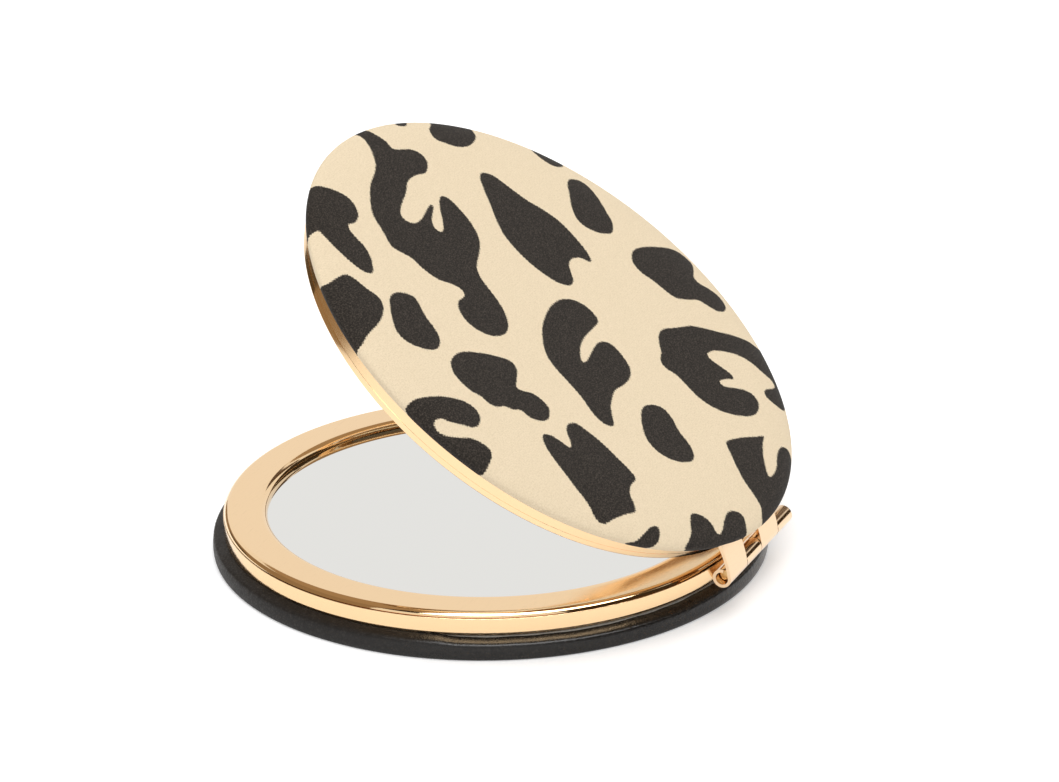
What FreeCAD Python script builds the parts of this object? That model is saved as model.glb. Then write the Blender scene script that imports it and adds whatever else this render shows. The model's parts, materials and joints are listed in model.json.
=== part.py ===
# Round compact mirror: two metal halves with mirrors, padded covers and a rolled-knuckle hinge.
# Millimetres. +Z is up, the origin is the centre of the flat underside, the hinge lies along X at the back (+Y).
# The lid is drawn as it is photographed, part way open.
#
# Both halves are built in one half frame: the height runs outwards from the ring's flat face, which is height 0,
# to the padded cover, and the hinge is at +Y. The base is the half turned face up, the lid the half turned face down.
import FreeCAD
import Part
import math
import os

# Metal ring and pan of either half
WALL_RADIUS = 33.6          # outside of the pan's side wall
PAN_SHEET = 0.4             # thickness of the pan's sheet metal
PAN_CORNER = 0.45           # outside bend where the wall turns into the floor
PAN_RELIEF = 0.06           # the corner is pressed back this far behind each hinge strap
PAN_RIM_HEIGHT = 0.72       # where the pan's rim starts, below the ring's flat face
PAN_RIM_ROUND = 0.08        # broken edges of the rim
SHOULDER_INSET = 0.1        # the ring's shoulder lies this far inside the wall
SHOULDER_ROUND = 0.84       # rounding from the flat face into the shoulder
SHOULDER_SLOPE = 70.0       # degrees from the flat face, where the shoulder ends
SHOULDER_HEIGHT = 0.62      # lower edge of the shoulder; the rest up to the rim is a fine groove
RING_SHEET = 0.38           # thickness of the ring's sheet metal
RING_WIDTH = 5.5            # from the shoulder to the clear opening over the mirror
RING_LIP_ROUND = 1.0        # rounding from the flat face into the inner lip
RING_SKIRT_LENGTH = 1.3     # how far the ring's skirt reaches into the pan
RING_FIT = 0.03             # between the skirt and the inside of the wall

# Mirror and what holds it
MIRROR_DEPTH = 1.1          # mirror's face below the ring's flat face
MIRROR_THICKNESS = 1.3
MIRROR_COVERED_EDGE = 2.3   # width of glass hidden under the ring
MIRROR_ARRIS = 0.12         # ground edges of the glass
TAPE_THICKNESS = 0.2
TAPE_EDGE = 2.0             # the tape ends this far inside the glass

# Magnets that hold the two halves shut
MAGNET_LENGTH = 8.0
MAGNET_ROUND = 0.2
MAGNET_CLEARANCE = 0.15     # between the magnet and the glass or the ring's skirt
MAGNET_HEADROOM = 0.3       # between the magnet and the ring

# Padded covers
BOARD_THICKNESS = 1.1
BOARD_ROUND = 0.25
COVER_FIT = 0.1             # between the metal wall and the cover's inner edge
BOARD_FIT = 0.15            # between the board or foam and the inside of the cover
LAYER_GAP = 0.03            # glue line between one layer and the next
FOAM_THICKNESS = 0.7
FOAM_EDGE_THICKNESS = 0.11  # of the lid's domed foam, at its rim

# Leather cover under the base
LEATHER_THICKNESS = 0.76
LEATHER_LAP = 0.4               # its inner edge covers the metal wall by this much
LEATHER_RIDGE = 0.95            # how far the ridge of its roll stands out past the inner edge
LEATHER_RIDGE_DROP = 0.35       # the ridge lies this far below the inner edge
LEATHER_ROLL = 1.25             # how far the roll stands out at its widest line
LEATHER_ROLL_DROP = 0.95        # the widest line lies this far below the ridge
LEATHER_FOOT = 0.55             # how far the flat foot reaches past the inner edge
LEATHER_TOP_BOW = 0.06          # how far the roll bows out between the inner edge and the ridge
LEATHER_SIDE_BOW = 0.12         # the same between the ridge and the widest line
LEATHER_FOOT_BOW = 0.22         # the same between the widest line and the foot

# Cloth cover on the lid
CLOTH_THICKNESS = 0.5
CLOTH_EDGE_STANDS_OUT = 1.6     # how far the soft edge stands out past the inner edge
CLOTH_EDGE_BELOW_BOARD = 0.53   # its widest line lies this far below the board's top
CLOTH_LOWER_ROUND = 0.9

# Hinge
LID_OPEN_ANGLE = 36.0       # degrees between the two halves as photographed
CLOSED_GAP = 0.3            # between the two flat faces when shut
LEAF_SHEET = 0.4
LEAF_CLEARANCE = 0.1        # round the leaf, in the board and the cover
LEAF_PLATE_WIDTH = 2.0      # plate that joins the two straps, along Y
LEAF_PLATE_INSET = 1.0      # the plate's corners lie this far inside the wall
CURL_RADIUS = 1.2           # outside of a rolled knuckle
CURL_WRAP = 290.0           # degrees that the sheet wraps round the pin
STRAP_SLOPE_AT_CURL = 45.0  # degrees from the flat face, where the strap leaves the knuckle
STRAP_SLOPE_AT_BEND = 28.0  # degrees from the flat face, where it reaches the pan
BEND_RADIUS = 1.0           # outside of the bend onto the pan's floor
BEND_INSET = 0.7135         # the bend starts this far inside the wall
LID_STRAP_WIDTH = 5.6       # along the hinge, with half the gap on each side
BASE_STRAP_WIDTH = 4.8      # the same for the base's straps, which lie beyond each strap of the lid
HINGE_NEAR_END = 11.2       # +X end of the row of knuckles, where the lid's first strap starts
KNUCKLE_GAP = 0.12          # between neighbouring knuckles
PIN_RUNNING_FIT = 0.04
PIN_RECESS = 1.2            # pin's ends lie this far inside the hinge
PIN_END_ROUND = 0.2

# Rivets that hold a leaf to its pan
RIVET_SHANK_RADIUS = 0.5
RIVET_HEAD_RADIUS = 0.8
RIVET_HEAD_HEIGHT = 0.3
RIVET_HEAD_ROUND = 0.15
RIVET_FIT = 0.02            # round the shank

# Angles in degrees, and the length below which two points count as one
FULL_TURN = 360
HALF_TURN = 180
QUARTER_TURN = 90
EIGHTH_TURN = 45
SAME_POINT = 1e-6

# Radii that follow from the above
PAN_INNER_RADIUS = WALL_RADIUS - PAN_SHEET
SHOULDER_RADIUS = WALL_RADIUS - SHOULDER_INSET
SKIRT_RADIUS = PAN_INNER_RADIUS - RING_FIT
SKIRT_INNER_RADIUS = SKIRT_RADIUS - RING_SHEET
RING_INNER_RADIUS = SHOULDER_RADIUS - RING_WIDTH
MIRROR_RADIUS = RING_INNER_RADIUS + MIRROR_COVERED_EDGE
COVER_BORE = WALL_RADIUS + COVER_FIT
BOARD_RADIUS = COVER_BORE - BOARD_FIT
RIVET_CIRCLE = (MIRROR_RADIUS + SKIRT_INNER_RADIUS) / 2

# Heights that follow from the above
MIRROR_BACK = MIRROR_DEPTH + MIRROR_THICKNESS
FLOOR_INSIDE = MIRROR_BACK + TAPE_THICKNESS
FLOOR_OUTSIDE = FLOOR_INSIDE + PAN_SHEET
LEAF_TOP = FLOOR_OUTSIDE + LEAF_SHEET
BOARD_TOP = FLOOR_OUTSIDE + LAYER_GAP + BOARD_THICKNESS
FOAM_FOOT = BOARD_TOP + LAYER_GAP
FOAM_TOP = FOAM_FOOT + FOAM_THICKNESS
LEATHER_INSIDE = FOAM_TOP + LAYER_GAP
BASE_HEIGHT = LEATHER_INSIDE + LEATHER_THICKNESS
CLOTH_CROWN_HEIGHT = FOAM_TOP + LAYER_GAP + CLOTH_THICKNESS
CLOTH_EDGE_HEIGHT = BOARD_TOP - CLOTH_EDGE_BELOW_BOARD
CLOTH_UPPER_ROUND = FOAM_FOOT + FOAM_EDGE_THICKNESS + LAYER_GAP + CLOTH_THICKNESS - CLOTH_EDGE_HEIGHT
HINGE_HEIGHT = -CLOSED_GAP / 2

# The cloth's dome: a sphere that meets the rounded edge smoothly
CLOTH_EDGE_CENTRE = (COVER_BORE + CLOTH_EDGE_STANDS_OUT - CLOTH_UPPER_ROUND, CLOTH_EDGE_HEIGHT)
DOME_RISE = CLOTH_CROWN_HEIGHT - CLOTH_EDGE_HEIGHT
DOME_RADIUS = (
    (CLOTH_EDGE_CENTRE[0] ** 2 + DOME_RISE ** 2 - CLOTH_UPPER_ROUND ** 2) / (2 * (DOME_RISE - CLOTH_UPPER_ROUND))
)
DOME_CENTRE = (0, CLOTH_CROWN_HEIGHT - DOME_RADIUS)

# The leaf's strap: an arc that leaves the knuckle and the bend smoothly, which places the hinge axis
CURL_ANGLE = math.radians(STRAP_SLOPE_AT_CURL)
BEND_ANGLE = math.radians(STRAP_SLOPE_AT_BEND)
STRAP_RISE = (
    LEAF_TOP - HINGE_HEIGHT - CURL_RADIUS * math.cos(CURL_ANGLE) - BEND_RADIUS * (1 - math.cos(BEND_ANGLE))
)
STRAP_RADIUS = STRAP_RISE / (math.cos(BEND_ANGLE) - math.cos(CURL_ANGLE))
STRAP_RUN = (STRAP_RADIUS - CURL_RADIUS) * math.sin(CURL_ANGLE) - (STRAP_RADIUS - BEND_RADIUS) * math.sin(BEND_ANGLE)
HINGE_Y = WALL_RADIUS - BEND_INSET + STRAP_RUN
HINGE_FAR_END = HINGE_NEAR_END - 2 * (LID_STRAP_WIDTH + BASE_STRAP_WIDTH)
PIN_RADIUS = CURL_RADIUS - LEAF_SHEET - PIN_RUNNING_FIT
PLATE_Y_OUT = math.sqrt((WALL_RADIUS - LEAF_PLATE_INSET) ** 2 - HINGE_NEAR_END ** 2)
PLATE_Y_IN = PLATE_Y_OUT - LEAF_PLATE_WIDTH

# Straps of each leaf as (lowest x, width) in the half frame, whose x runs the other way in the base
LID_STRAPS = (
    (HINGE_FAR_END + BASE_STRAP_WIDTH, LID_STRAP_WIDTH),
    (HINGE_NEAR_END - LID_STRAP_WIDTH, LID_STRAP_WIDTH),
)
BASE_STRAPS = (
    (LID_STRAP_WIDTH - HINGE_NEAR_END, BASE_STRAP_WIDTH),
    (-HINGE_FAR_END - BASE_STRAP_WIDTH, BASE_STRAP_WIDTH),
)

AXIS_FOOT = FreeCAD.Vector(0, 0, 0)
UP = FreeCAD.Vector(0, 0, 1)
ALONG_X = FreeCAD.Vector(1, 0, 0)
ALONG_Y = FreeCAD.Vector(0, 1, 0)
HINGE_PLACE = FreeCAD.Vector(0, HINGE_Y, BASE_HEIGHT - HINGE_HEIGHT)


def in_section(pair):
    """A (radius, height) point in the plane that is turned round the half's axis."""
    return FreeCAD.Vector(pair[0], 0, pair[1])


def on_circle(centre, radius, degrees):
    """Point at an angle on a circle, as a (first, second) pair."""
    angle = math.radians(degrees)
    return (centre[0] + radius * math.cos(angle), centre[1] + radius * math.sin(angle))


def arc(start, middle, end):
    """Arc through three (radius, height) points of the turned section."""
    return Part.Arc(in_section(start), in_section(middle), in_section(end)).toShape()


def line(start, end):
    """Straight edge between two (radius, height) points of the turned section."""
    return Part.LineSegment(in_section(start), in_section(end)).toShape()


def bowed(start, end, bow):
    """Arc between two (radius, height) points of the turned section that bows outwards by an amount."""
    run = FreeCAD.Vector(end[0] - start[0], end[1] - start[1], 0)
    out = FreeCAD.Vector(run.y, -run.x, 0).normalize() * bow
    return arc(start, ((start[0] + end[0]) / 2 + out.x, (start[1] + end[1]) / 2 + out.y), end)


def rounded_edges(corners):
    """Edges of a closed outline through (radius, height, rounding) corners, with an arc at each rounded corner."""
    entries = []
    count = len(corners)
    for index, (radius, height, rounding) in enumerate(corners):
        here = FreeCAD.Vector(radius, height, 0)
        before = FreeCAD.Vector(*corners[index - 1][:2], 0) - here
        after = FreeCAD.Vector(*corners[(index + 1) % count][:2], 0) - here
        if rounding == 0:
            entries.append((here, None, here))
            continue
        half_angle = before.getAngle(after) / 2
        before.normalize()
        after.normalize()
        setback = rounding / math.tan(half_angle)
        middle = (before + after).normalize() * (rounding / math.sin(half_angle) - rounding)
        entries.append((here + before * setback, here + middle, here + after * setback))
    edges = []
    for index, (start, middle, end) in enumerate(entries):
        if middle is not None:
            edges.append(arc(start[:2], middle[:2], end[:2]))
        following = entries[(index + 1) % count][0]
        if (following - end).Length > SAME_POINT:
            edges.append(line(end[:2], following[:2]))
    return edges


def turned(edges):
    """Solid of revolution round the half's axis from a closed set of edges."""
    face = Part.Face(Part.Wire(Part.__sortEdges__(edges)))
    return face.revolve(AXIS_FOOT, UP, FULL_TURN)


def turned_outline(corners):
    """Solid of revolution from (radius, height, rounding) corners."""
    return turned(rounded_edges(corners))


def pan():
    """Stamped pan: side wall and floor of one thickness, with a bent corner."""
    return turned_outline([
        (0, FLOOR_OUTSIDE, 0),
        (WALL_RADIUS, FLOOR_OUTSIDE, PAN_CORNER),
        (WALL_RADIUS, PAN_RIM_HEIGHT, PAN_RIM_ROUND),
        (PAN_INNER_RADIUS, PAN_RIM_HEIGHT, PAN_RIM_ROUND),
        (PAN_INNER_RADIUS, FLOOR_INSIDE, PAN_CORNER - PAN_SHEET),
        (0, FLOOR_INSIDE, 0),
    ])


def bezel():
    """Ring of channel section: flat face, lip down to the mirror, shoulder and a skirt inside the pan."""
    skirt_foot = SHOULDER_HEIGHT + RING_SKIRT_LENGTH
    shoulder_start = SHOULDER_RADIUS - SHOULDER_HEIGHT / math.tan(math.radians(SHOULDER_SLOPE))
    return turned_outline([
        (RING_INNER_RADIUS, MIRROR_DEPTH, 0),
        (RING_INNER_RADIUS, 0, RING_LIP_ROUND),
        (shoulder_start, 0, SHOULDER_ROUND),
        (SHOULDER_RADIUS, SHOULDER_HEIGHT, 0),
        (SKIRT_RADIUS, SHOULDER_HEIGHT, 0),
        (SKIRT_RADIUS, skirt_foot, 0),
        (SKIRT_INNER_RADIUS, skirt_foot, 0),
        (SKIRT_INNER_RADIUS, RING_SHEET, 0),
        (RING_INNER_RADIUS + RING_SHEET, RING_SHEET, RING_LIP_ROUND - RING_SHEET),
        (RING_INNER_RADIUS + RING_SHEET, MIRROR_DEPTH, 0),
    ])


def disc(radius, low, high, rounding):
    """Plain round plate with broken edges."""
    return turned_outline([(0, low, 0), (radius, low, rounding), (radius, high, rounding), (0, high, 0)])


def mirror_glass():
    """Round glass with ground edges."""
    return disc(MIRROR_RADIUS, MIRROR_DEPTH, MIRROR_BACK, MIRROR_ARRIS)


def mirror_tape():
    """Double-sided tape between the glass and the pan's floor."""
    return disc(MIRROR_RADIUS - TAPE_EDGE, MIRROR_BACK, FLOOR_INSIDE, 0)


def magnet():
    """Bar magnet on the pan's floor, under the ring, opposite the hinge."""
    low = RING_SHEET + MAGNET_HEADROOM
    inner_y = MIRROR_RADIUS + MAGNET_CLEARANCE
    outer_y = math.sqrt((SKIRT_INNER_RADIUS - MAGNET_CLEARANCE) ** 2 - (MAGNET_LENGTH / 2) ** 2)
    corner = FreeCAD.Vector(-MAGNET_LENGTH / 2, -outer_y, low)
    bar = Part.makeBox(MAGNET_LENGTH, outer_y - inner_y, FLOOR_INSIDE - low, corner)
    return bar.makeFillet(MAGNET_ROUND, bar.Edges)


def leaf_arcs(grow):
    """The leaf's outer surface in (y, height), grown outwards: (centre, radius, start, end) from plate to knuckle."""
    axis = (HINGE_Y, HINGE_HEIGHT)
    curl_end = QUARTER_TURN - STRAP_SLOPE_AT_CURL
    bend_end = QUARTER_TURN - STRAP_SLOPE_AT_BEND
    strap_centre = on_circle(axis, CURL_RADIUS - STRAP_RADIUS, curl_end)
    bend_centre = on_circle(strap_centre, STRAP_RADIUS - BEND_RADIUS, bend_end)
    return [
        (bend_centre, BEND_RADIUS + grow, QUARTER_TURN, bend_end),
        (strap_centre, STRAP_RADIUS + grow, bend_end, curl_end),
        (axis, CURL_RADIUS + grow, curl_end, curl_end - CURL_WRAP),
    ]


def hinge_point(pair, x):
    """A (y, height) point of the hinge's section at a place along the hinge."""
    return FreeCAD.Vector(x, pair[0], pair[1])


def hinge_arc(piece, x):
    """Edge of one (centre, radius, start, end) arc of the hinge's section."""
    centre, radius, start, end = piece
    angles = (start, (start + end) / 2, end)
    return Part.Arc(*[hinge_point(on_circle(centre, radius, angle), x) for angle in angles]).toShape()


def hinge_line(first, second, x):
    """Straight edge of the hinge's section."""
    return Part.LineSegment(hinge_point(first, x), hinge_point(second, x)).toShape()


def arc_start(piece):
    """Where one (centre, radius, start, end) arc of the hinge's section begins."""
    return on_circle(piece[0], piece[1], piece[2])


def arc_end(piece):
    """Where it ends."""
    return on_circle(piece[0], piece[1], piece[3])


def strap(x_low, width):
    """One strap of the leaf: from the plate over the pan's corner and round the pin."""
    outer = leaf_arcs(0)
    inner = leaf_arcs(-LEAF_SHEET)
    outer_foot = (PLATE_Y_OUT, LEAF_TOP)
    inner_foot = (PLATE_Y_OUT, FLOOR_OUTSIDE)
    edges = [hinge_arc(piece, x_low) for piece in outer + inner]
    edges.append(hinge_line(outer_foot, arc_start(outer[0]), x_low))
    edges.append(hinge_line(inner_foot, arc_start(inner[0]), x_low))
    edges.append(hinge_line(outer_foot, inner_foot, x_low))
    edges.append(hinge_line(arc_end(outer[-1]), arc_end(inner[-1]), x_low))
    section = Part.Face(Part.Wire(Part.__sortEdges__(edges)))
    return section.extrude(ALONG_X * width)


def strap_spans(straps, grow):
    """(lowest x, width) of a leaf's two straps without their gaps, each grown on both sides."""
    inset = KNUCKLE_GAP / 2 - grow
    return [(start + inset, width - 2 * inset) for start, width in straps]


def leaf_span(straps, grow):
    """(lowest x, width) over both straps, grown on both sides."""
    spans = strap_spans(straps, grow)
    low_x = spans[0][0]
    return low_x, spans[-1][0] + spans[-1][1] - low_x


def rivet_places(straps):
    """Centres of a leaf's two rivets, one on each strap."""
    places = []
    for low, width in strap_spans(straps, 0):
        x = low + width / 2
        places.append((x, math.sqrt(RIVET_CIRCLE ** 2 - x ** 2)))
    return places


def post(x, y, radius, low, high):
    """Upright cylinder."""
    return Part.makeCylinder(radius, high - low, FreeCAD.Vector(x, y, low), UP)


def hinge_leaf(straps):
    """Leaf with two straps rolled into knuckles, joined by a plate on the pan's floor and holed for rivets."""
    low_x, length = leaf_span(straps, 0)
    leaf = Part.makeBox(length, LEAF_PLATE_WIDTH, LEAF_SHEET, FreeCAD.Vector(low_x, PLATE_Y_IN, FLOOR_OUTSIDE))
    for low, width in strap_spans(straps, 0):
        leaf = leaf.fuse(strap(low, width))
    for x, y in rivet_places(straps):
        leaf = leaf.cut(post(x, y, RIVET_SHANK_RADIUS + RIVET_FIT, FLOOR_INSIDE, LEAF_TOP))
    return leaf.removeSplitter()


def fitted_pan(straps):
    """The pan with holes for its leaf's rivets and its corner pressed back behind each strap."""
    fitted = pan()
    for x, y in rivet_places(straps):
        fitted = fitted.cut(post(x, y, RIVET_SHANK_RADIUS + RIVET_FIT, FLOOR_INSIDE, FLOOR_OUTSIDE))
    bend, sweep = leaf_arcs(-LEAF_SHEET - PAN_RELIEF)[:2]
    start, end = arc_start(bend), arc_end(sweep)
    for low, width in strap_spans(straps, LEAF_CLEARANCE):
        edges = [
            hinge_arc(bend, low),
            hinge_arc(sweep, low),
            hinge_line(end, (end[0], LEAF_TOP), low),
            hinge_line((end[0], LEAF_TOP), (start[0], LEAF_TOP), low),
            hinge_line((start[0], LEAF_TOP), start, low),
        ]
        section = Part.Face(Part.Wire(Part.__sortEdges__(edges)))
        fitted = fitted.cut(section.extrude(ALONG_X * width))
    return fitted


def leaf_rivets(straps):
    """Two rivets with a head inside the pan and a head on the leaf."""
    head_low = FLOOR_INSIDE - RIVET_HEAD_HEIGHT
    head_high = LEAF_TOP + RIVET_HEAD_HEIGHT
    section = [
        (0, head_low, 0),
        (RIVET_HEAD_RADIUS, head_low, RIVET_HEAD_ROUND),
        (RIVET_HEAD_RADIUS, FLOOR_INSIDE, 0),
        (RIVET_SHANK_RADIUS, FLOOR_INSIDE, 0),
        (RIVET_SHANK_RADIUS, LEAF_TOP, 0),
        (RIVET_HEAD_RADIUS, LEAF_TOP, 0),
        (RIVET_HEAD_RADIUS, head_high, RIVET_HEAD_ROUND),
        (0, head_high, 0),
    ]
    rivets = []
    for x, y in rivet_places(straps):
        rivet = turned_outline(section)
        rivet.translate(FreeCAD.Vector(x, y, 0))
        rivets.append(rivet)
    return Part.makeCompound(rivets)


def cover_board(straps):
    """Stiff board on the pan's floor, with a pocket for the leaf and its rivet heads."""
    board = disc(BOARD_RADIUS, FLOOR_OUTSIDE + LAYER_GAP, BOARD_TOP, BOARD_ROUND)
    low_x, length = leaf_span(straps, LEAF_CLEARANCE)
    low_y = PLATE_Y_IN - LEAF_CLEARANCE
    depth = LEAF_TOP + LEAF_CLEARANCE - FLOOR_OUTSIDE
    board = board.cut(Part.makeBox(length, HINGE_Y - low_y, depth, FreeCAD.Vector(low_x, low_y, FLOOR_OUTSIDE)))
    head_top = LEAF_TOP + RIVET_HEAD_HEIGHT + LEAF_CLEARANCE
    for x, y in rivet_places(straps):
        board = board.cut(post(x, y, RIVET_HEAD_RADIUS + LEAF_CLEARANCE, FLOOR_OUTSIDE, head_top))
    return board


def without_straps(cover, straps):
    """The cover with a notch in its inner edge for each strap of the leaf."""
    bend, sweep = leaf_arcs(LEAF_CLEARANCE)[:2]
    top_start = arc_start(bend)
    top_end = arc_end(sweep)
    top_foot = (PLATE_Y_OUT, top_start[1])
    low_foot = (PLATE_Y_OUT, HINGE_HEIGHT)
    low_end = (top_end[0], HINGE_HEIGHT)
    for low, width in strap_spans(straps, LEAF_CLEARANCE):
        edges = [
            hinge_arc(bend, low),
            hinge_arc(sweep, low),
            hinge_line(top_foot, top_start, low),
            hinge_line(top_foot, low_foot, low),
            hinge_line(low_foot, low_end, low),
            hinge_line(low_end, top_end, low),
        ]
        section = Part.Face(Part.Wire(Part.__sortEdges__(edges)))
        cover = cover.cut(section.extrude(ALONG_X * width))
    return cover


def leather_cover():
    """Leather skin of the base: one soft roll from the metal wall over a ridge and down to a flat foot."""
    inner_edge = (COVER_BORE, FLOOR_OUTSIDE - LEATHER_LAP)
    ridge = (COVER_BORE + LEATHER_RIDGE, inner_edge[1] + LEATHER_RIDGE_DROP)
    widest = (COVER_BORE + LEATHER_ROLL, ridge[1] + LEATHER_ROLL_DROP)
    foot_end = (COVER_BORE + LEATHER_FOOT, BASE_HEIGHT)
    return turned([
        bowed(inner_edge, ridge, LEATHER_TOP_BOW),
        bowed(ridge, widest, LEATHER_SIDE_BOW),
        bowed(widest, foot_end, LEATHER_FOOT_BOW),
        line(foot_end, (0, BASE_HEIGHT)),
        line((0, BASE_HEIGHT), (0, LEATHER_INSIDE)),
        line((0, LEATHER_INSIDE), (COVER_BORE, LEATHER_INSIDE)),
        line((COVER_BORE, LEATHER_INSIDE), inner_edge),
    ])


def dome_point(inset, radius):
    """Point of the cloth's dome, set in by an amount, at a radius."""
    return (radius, DOME_CENTRE[1] + math.sqrt((DOME_RADIUS - inset) ** 2 - radius ** 2))


def dome_arc(inset, radius):
    """Arc of that dome from a radius up to the axis, on a circle whose centre lies on the axis."""
    circle = Part.Circle(in_section(DOME_CENTRE), -ALONG_Y, DOME_RADIUS - inset)
    ends = [circle.parameter(in_section(dome_point(inset, place))) for place in (radius, 0)]
    return circle.toShape(*ends)


def fabric_cover():
    """Cloth skin of the lid: a low dome with a soft rounded edge that turns under to the metal."""
    edge_slope = math.atan2(CLOTH_EDGE_CENTRE[1] - DOME_CENTRE[1], CLOTH_EDGE_CENTRE[0])
    edge_angle = math.degrees(edge_slope)
    edge_start = on_circle(DOME_CENTRE, DOME_RADIUS, edge_angle)
    edge_middle = on_circle(CLOTH_EDGE_CENTRE, CLOTH_UPPER_ROUND, edge_angle / 2)
    widest = (COVER_BORE + CLOTH_EDGE_STANDS_OUT, CLOTH_EDGE_HEIGHT)
    under_centre = (widest[0] - CLOTH_LOWER_ROUND, CLOTH_EDGE_HEIGHT)
    under_middle = on_circle(under_centre, CLOTH_LOWER_ROUND, -EIGHTH_TURN)
    under_end = on_circle(under_centre, CLOTH_LOWER_ROUND, -QUARTER_TURN)
    bore_foot = (COVER_BORE, under_end[1])
    return turned([
        dome_arc(0, edge_start[0]),
        arc(edge_start, edge_middle, widest),
        arc(widest, under_middle, under_end),
        line(under_end, bore_foot),
        line(bore_foot, dome_point(CLOTH_THICKNESS, COVER_BORE)),
        dome_arc(CLOTH_THICKNESS, COVER_BORE),
        line(dome_point(CLOTH_THICKNESS, 0), dome_point(0, 0)),
    ])


def flat_foam():
    """Foam disc behind the leather."""
    return disc(BOARD_RADIUS, FOAM_FOOT, FOAM_TOP, BOARD_ROUND)


def domed_foam():
    """Foam behind the cloth, flat on the board and domed under the cloth."""
    inset = CLOTH_THICKNESS + LAYER_GAP
    edge_foot = (BOARD_RADIUS, FOAM_FOOT)
    return turned([
        line((0, FOAM_FOOT), edge_foot),
        line(edge_foot, dome_point(inset, BOARD_RADIUS)),
        dome_arc(inset, BOARD_RADIUS),
        line(dome_point(inset, 0), (0, FOAM_FOOT)),
    ])


def hinge_pin():
    """Plain pin with rounded ends, shorter than the row of knuckles, in the part's own frame."""
    pin_start = HINGE_FAR_END + PIN_RECESS
    length = HINGE_NEAR_END - PIN_RECESS - pin_start
    pin = Part.makeCylinder(PIN_RADIUS, length, HINGE_PLACE + ALONG_X * pin_start, ALONG_X)
    ends = [edge for edge in pin.Edges if isinstance(edge.Curve, Part.Circle)]
    return pin.makeFillet(PIN_END_ROUND, ends)


def as_base(shape):
    """Turns a half face up and stands it on its cover."""
    placed = shape.copy()
    placed.rotate(AXIS_FOOT, ALONG_Y, HALF_TURN)
    placed.translate(UP * BASE_HEIGHT)
    return placed


def as_lid(shape):
    """Lays a half face down over the base and opens it about the hinge."""
    placed = shape.copy()
    placed.translate(UP * (BASE_HEIGHT + CLOSED_GAP))
    placed.rotate(HINGE_PLACE, -ALONG_X, LID_OPEN_ANGLE)
    return placed


def build():
    """Every piece by its node name."""
    pieces = {}
    for half, straps, place in (("base_", BASE_STRAPS, as_base), ("lid_", LID_STRAPS, as_lid)):
        pieces[half + "pan"] = place(fitted_pan(straps))
        pieces[half + "bezel"] = place(bezel())
        pieces[half + "mirror_glass"] = place(mirror_glass())
        pieces[half + "mirror_tape"] = place(mirror_tape())
        pieces[half + "magnet"] = place(magnet())
        pieces[half + "hinge_leaf"] = place(hinge_leaf(straps))
        pieces[half + "leaf_rivets"] = place(leaf_rivets(straps))
        pieces[half + "cover_board"] = place(cover_board(straps))
    pieces["base_leather_cover"] = as_base(without_straps(leather_cover(), BASE_STRAPS))
    pieces["base_foam_pad"] = as_base(flat_foam())
    pieces["lid_fabric_cover"] = as_lid(without_straps(fabric_cover(), LID_STRAPS))
    pieces["lid_foam_pad"] = as_lid(domed_foam())
    pieces["hinge_pin"] = hinge_pin()
    return pieces


os.makedirs("parts", exist_ok=True)
for node, solid in build().items():
    solid.exportStep("parts/" + node + ".step")
    print(node, "solids", len(solid.Solids), "valid", solid.isValid(), "volume", round(solid.Volume, 2))
print("hinge", [round(value, 4) for value in HINGE_PLACE])
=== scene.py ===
"""Looks of the compact mirror: printed cloth, grained leather, polished gold and mirror glass.

Lengths are in metres. Both halves share one half frame: its height runs outwards from the ring's flat face,
which is height 0, to the padded cover, and the hinge lies at +Y.
"""

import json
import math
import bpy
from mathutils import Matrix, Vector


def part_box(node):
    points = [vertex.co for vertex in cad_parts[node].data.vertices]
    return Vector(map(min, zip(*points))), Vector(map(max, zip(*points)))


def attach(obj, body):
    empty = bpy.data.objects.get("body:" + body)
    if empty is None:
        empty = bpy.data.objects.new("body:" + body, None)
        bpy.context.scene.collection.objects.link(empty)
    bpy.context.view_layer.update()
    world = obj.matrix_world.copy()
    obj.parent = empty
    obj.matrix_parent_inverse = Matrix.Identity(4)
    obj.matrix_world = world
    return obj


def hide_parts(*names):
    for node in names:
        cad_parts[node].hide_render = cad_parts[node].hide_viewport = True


bl_info = {
    "name": "Compact mirror",
    "version": (1, 0, 0),
    "blender": (4, 5, 0),
    "location": "View3D > Sidebar > Compact mirror",
    "description": "Dresses the packed compact mirror in cloth, leather, gold and mirror glass",
    "category": "Object",
}

import bpy
import numpy as np
from bpy.props import FloatProperty, FloatVectorProperty, IntProperty, PointerProperty
from mathutils import Matrix, Vector

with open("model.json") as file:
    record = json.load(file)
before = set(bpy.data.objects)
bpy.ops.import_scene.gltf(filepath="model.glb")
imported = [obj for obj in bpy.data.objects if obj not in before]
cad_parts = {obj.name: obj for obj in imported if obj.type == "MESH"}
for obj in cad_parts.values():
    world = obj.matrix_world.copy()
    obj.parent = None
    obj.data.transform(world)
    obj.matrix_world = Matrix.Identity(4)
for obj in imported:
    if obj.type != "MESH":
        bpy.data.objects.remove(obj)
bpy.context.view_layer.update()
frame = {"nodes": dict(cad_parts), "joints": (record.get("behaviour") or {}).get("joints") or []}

MM = 0.001

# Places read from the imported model
HINGE = frame["joints"][0]
HINGE_PLACE = Vector(HINGE["pos_m"])
LID_OPEN_ANGLE = -math.radians(HINGE["range_deg"][0])
RING_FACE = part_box("base_bezel")[1].z
CLOSED_GAP = 2 * (HINGE_PLACE.z - RING_FACE)

# From a half frame to the part's frame
BASE_HALF = Matrix.Translation((0, 0, RING_FACE)) @ Matrix.Rotation(math.pi, 4, "Y")
LID_HALF = (
    Matrix.Translation(HINGE_PLACE)
    @ Matrix.Rotation(-LID_OPEN_ANGLE, 4, "X")
    @ Matrix.Translation(Vector((0, 0, RING_FACE + CLOSED_GAP)) - HINGE_PLACE)
)

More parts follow.
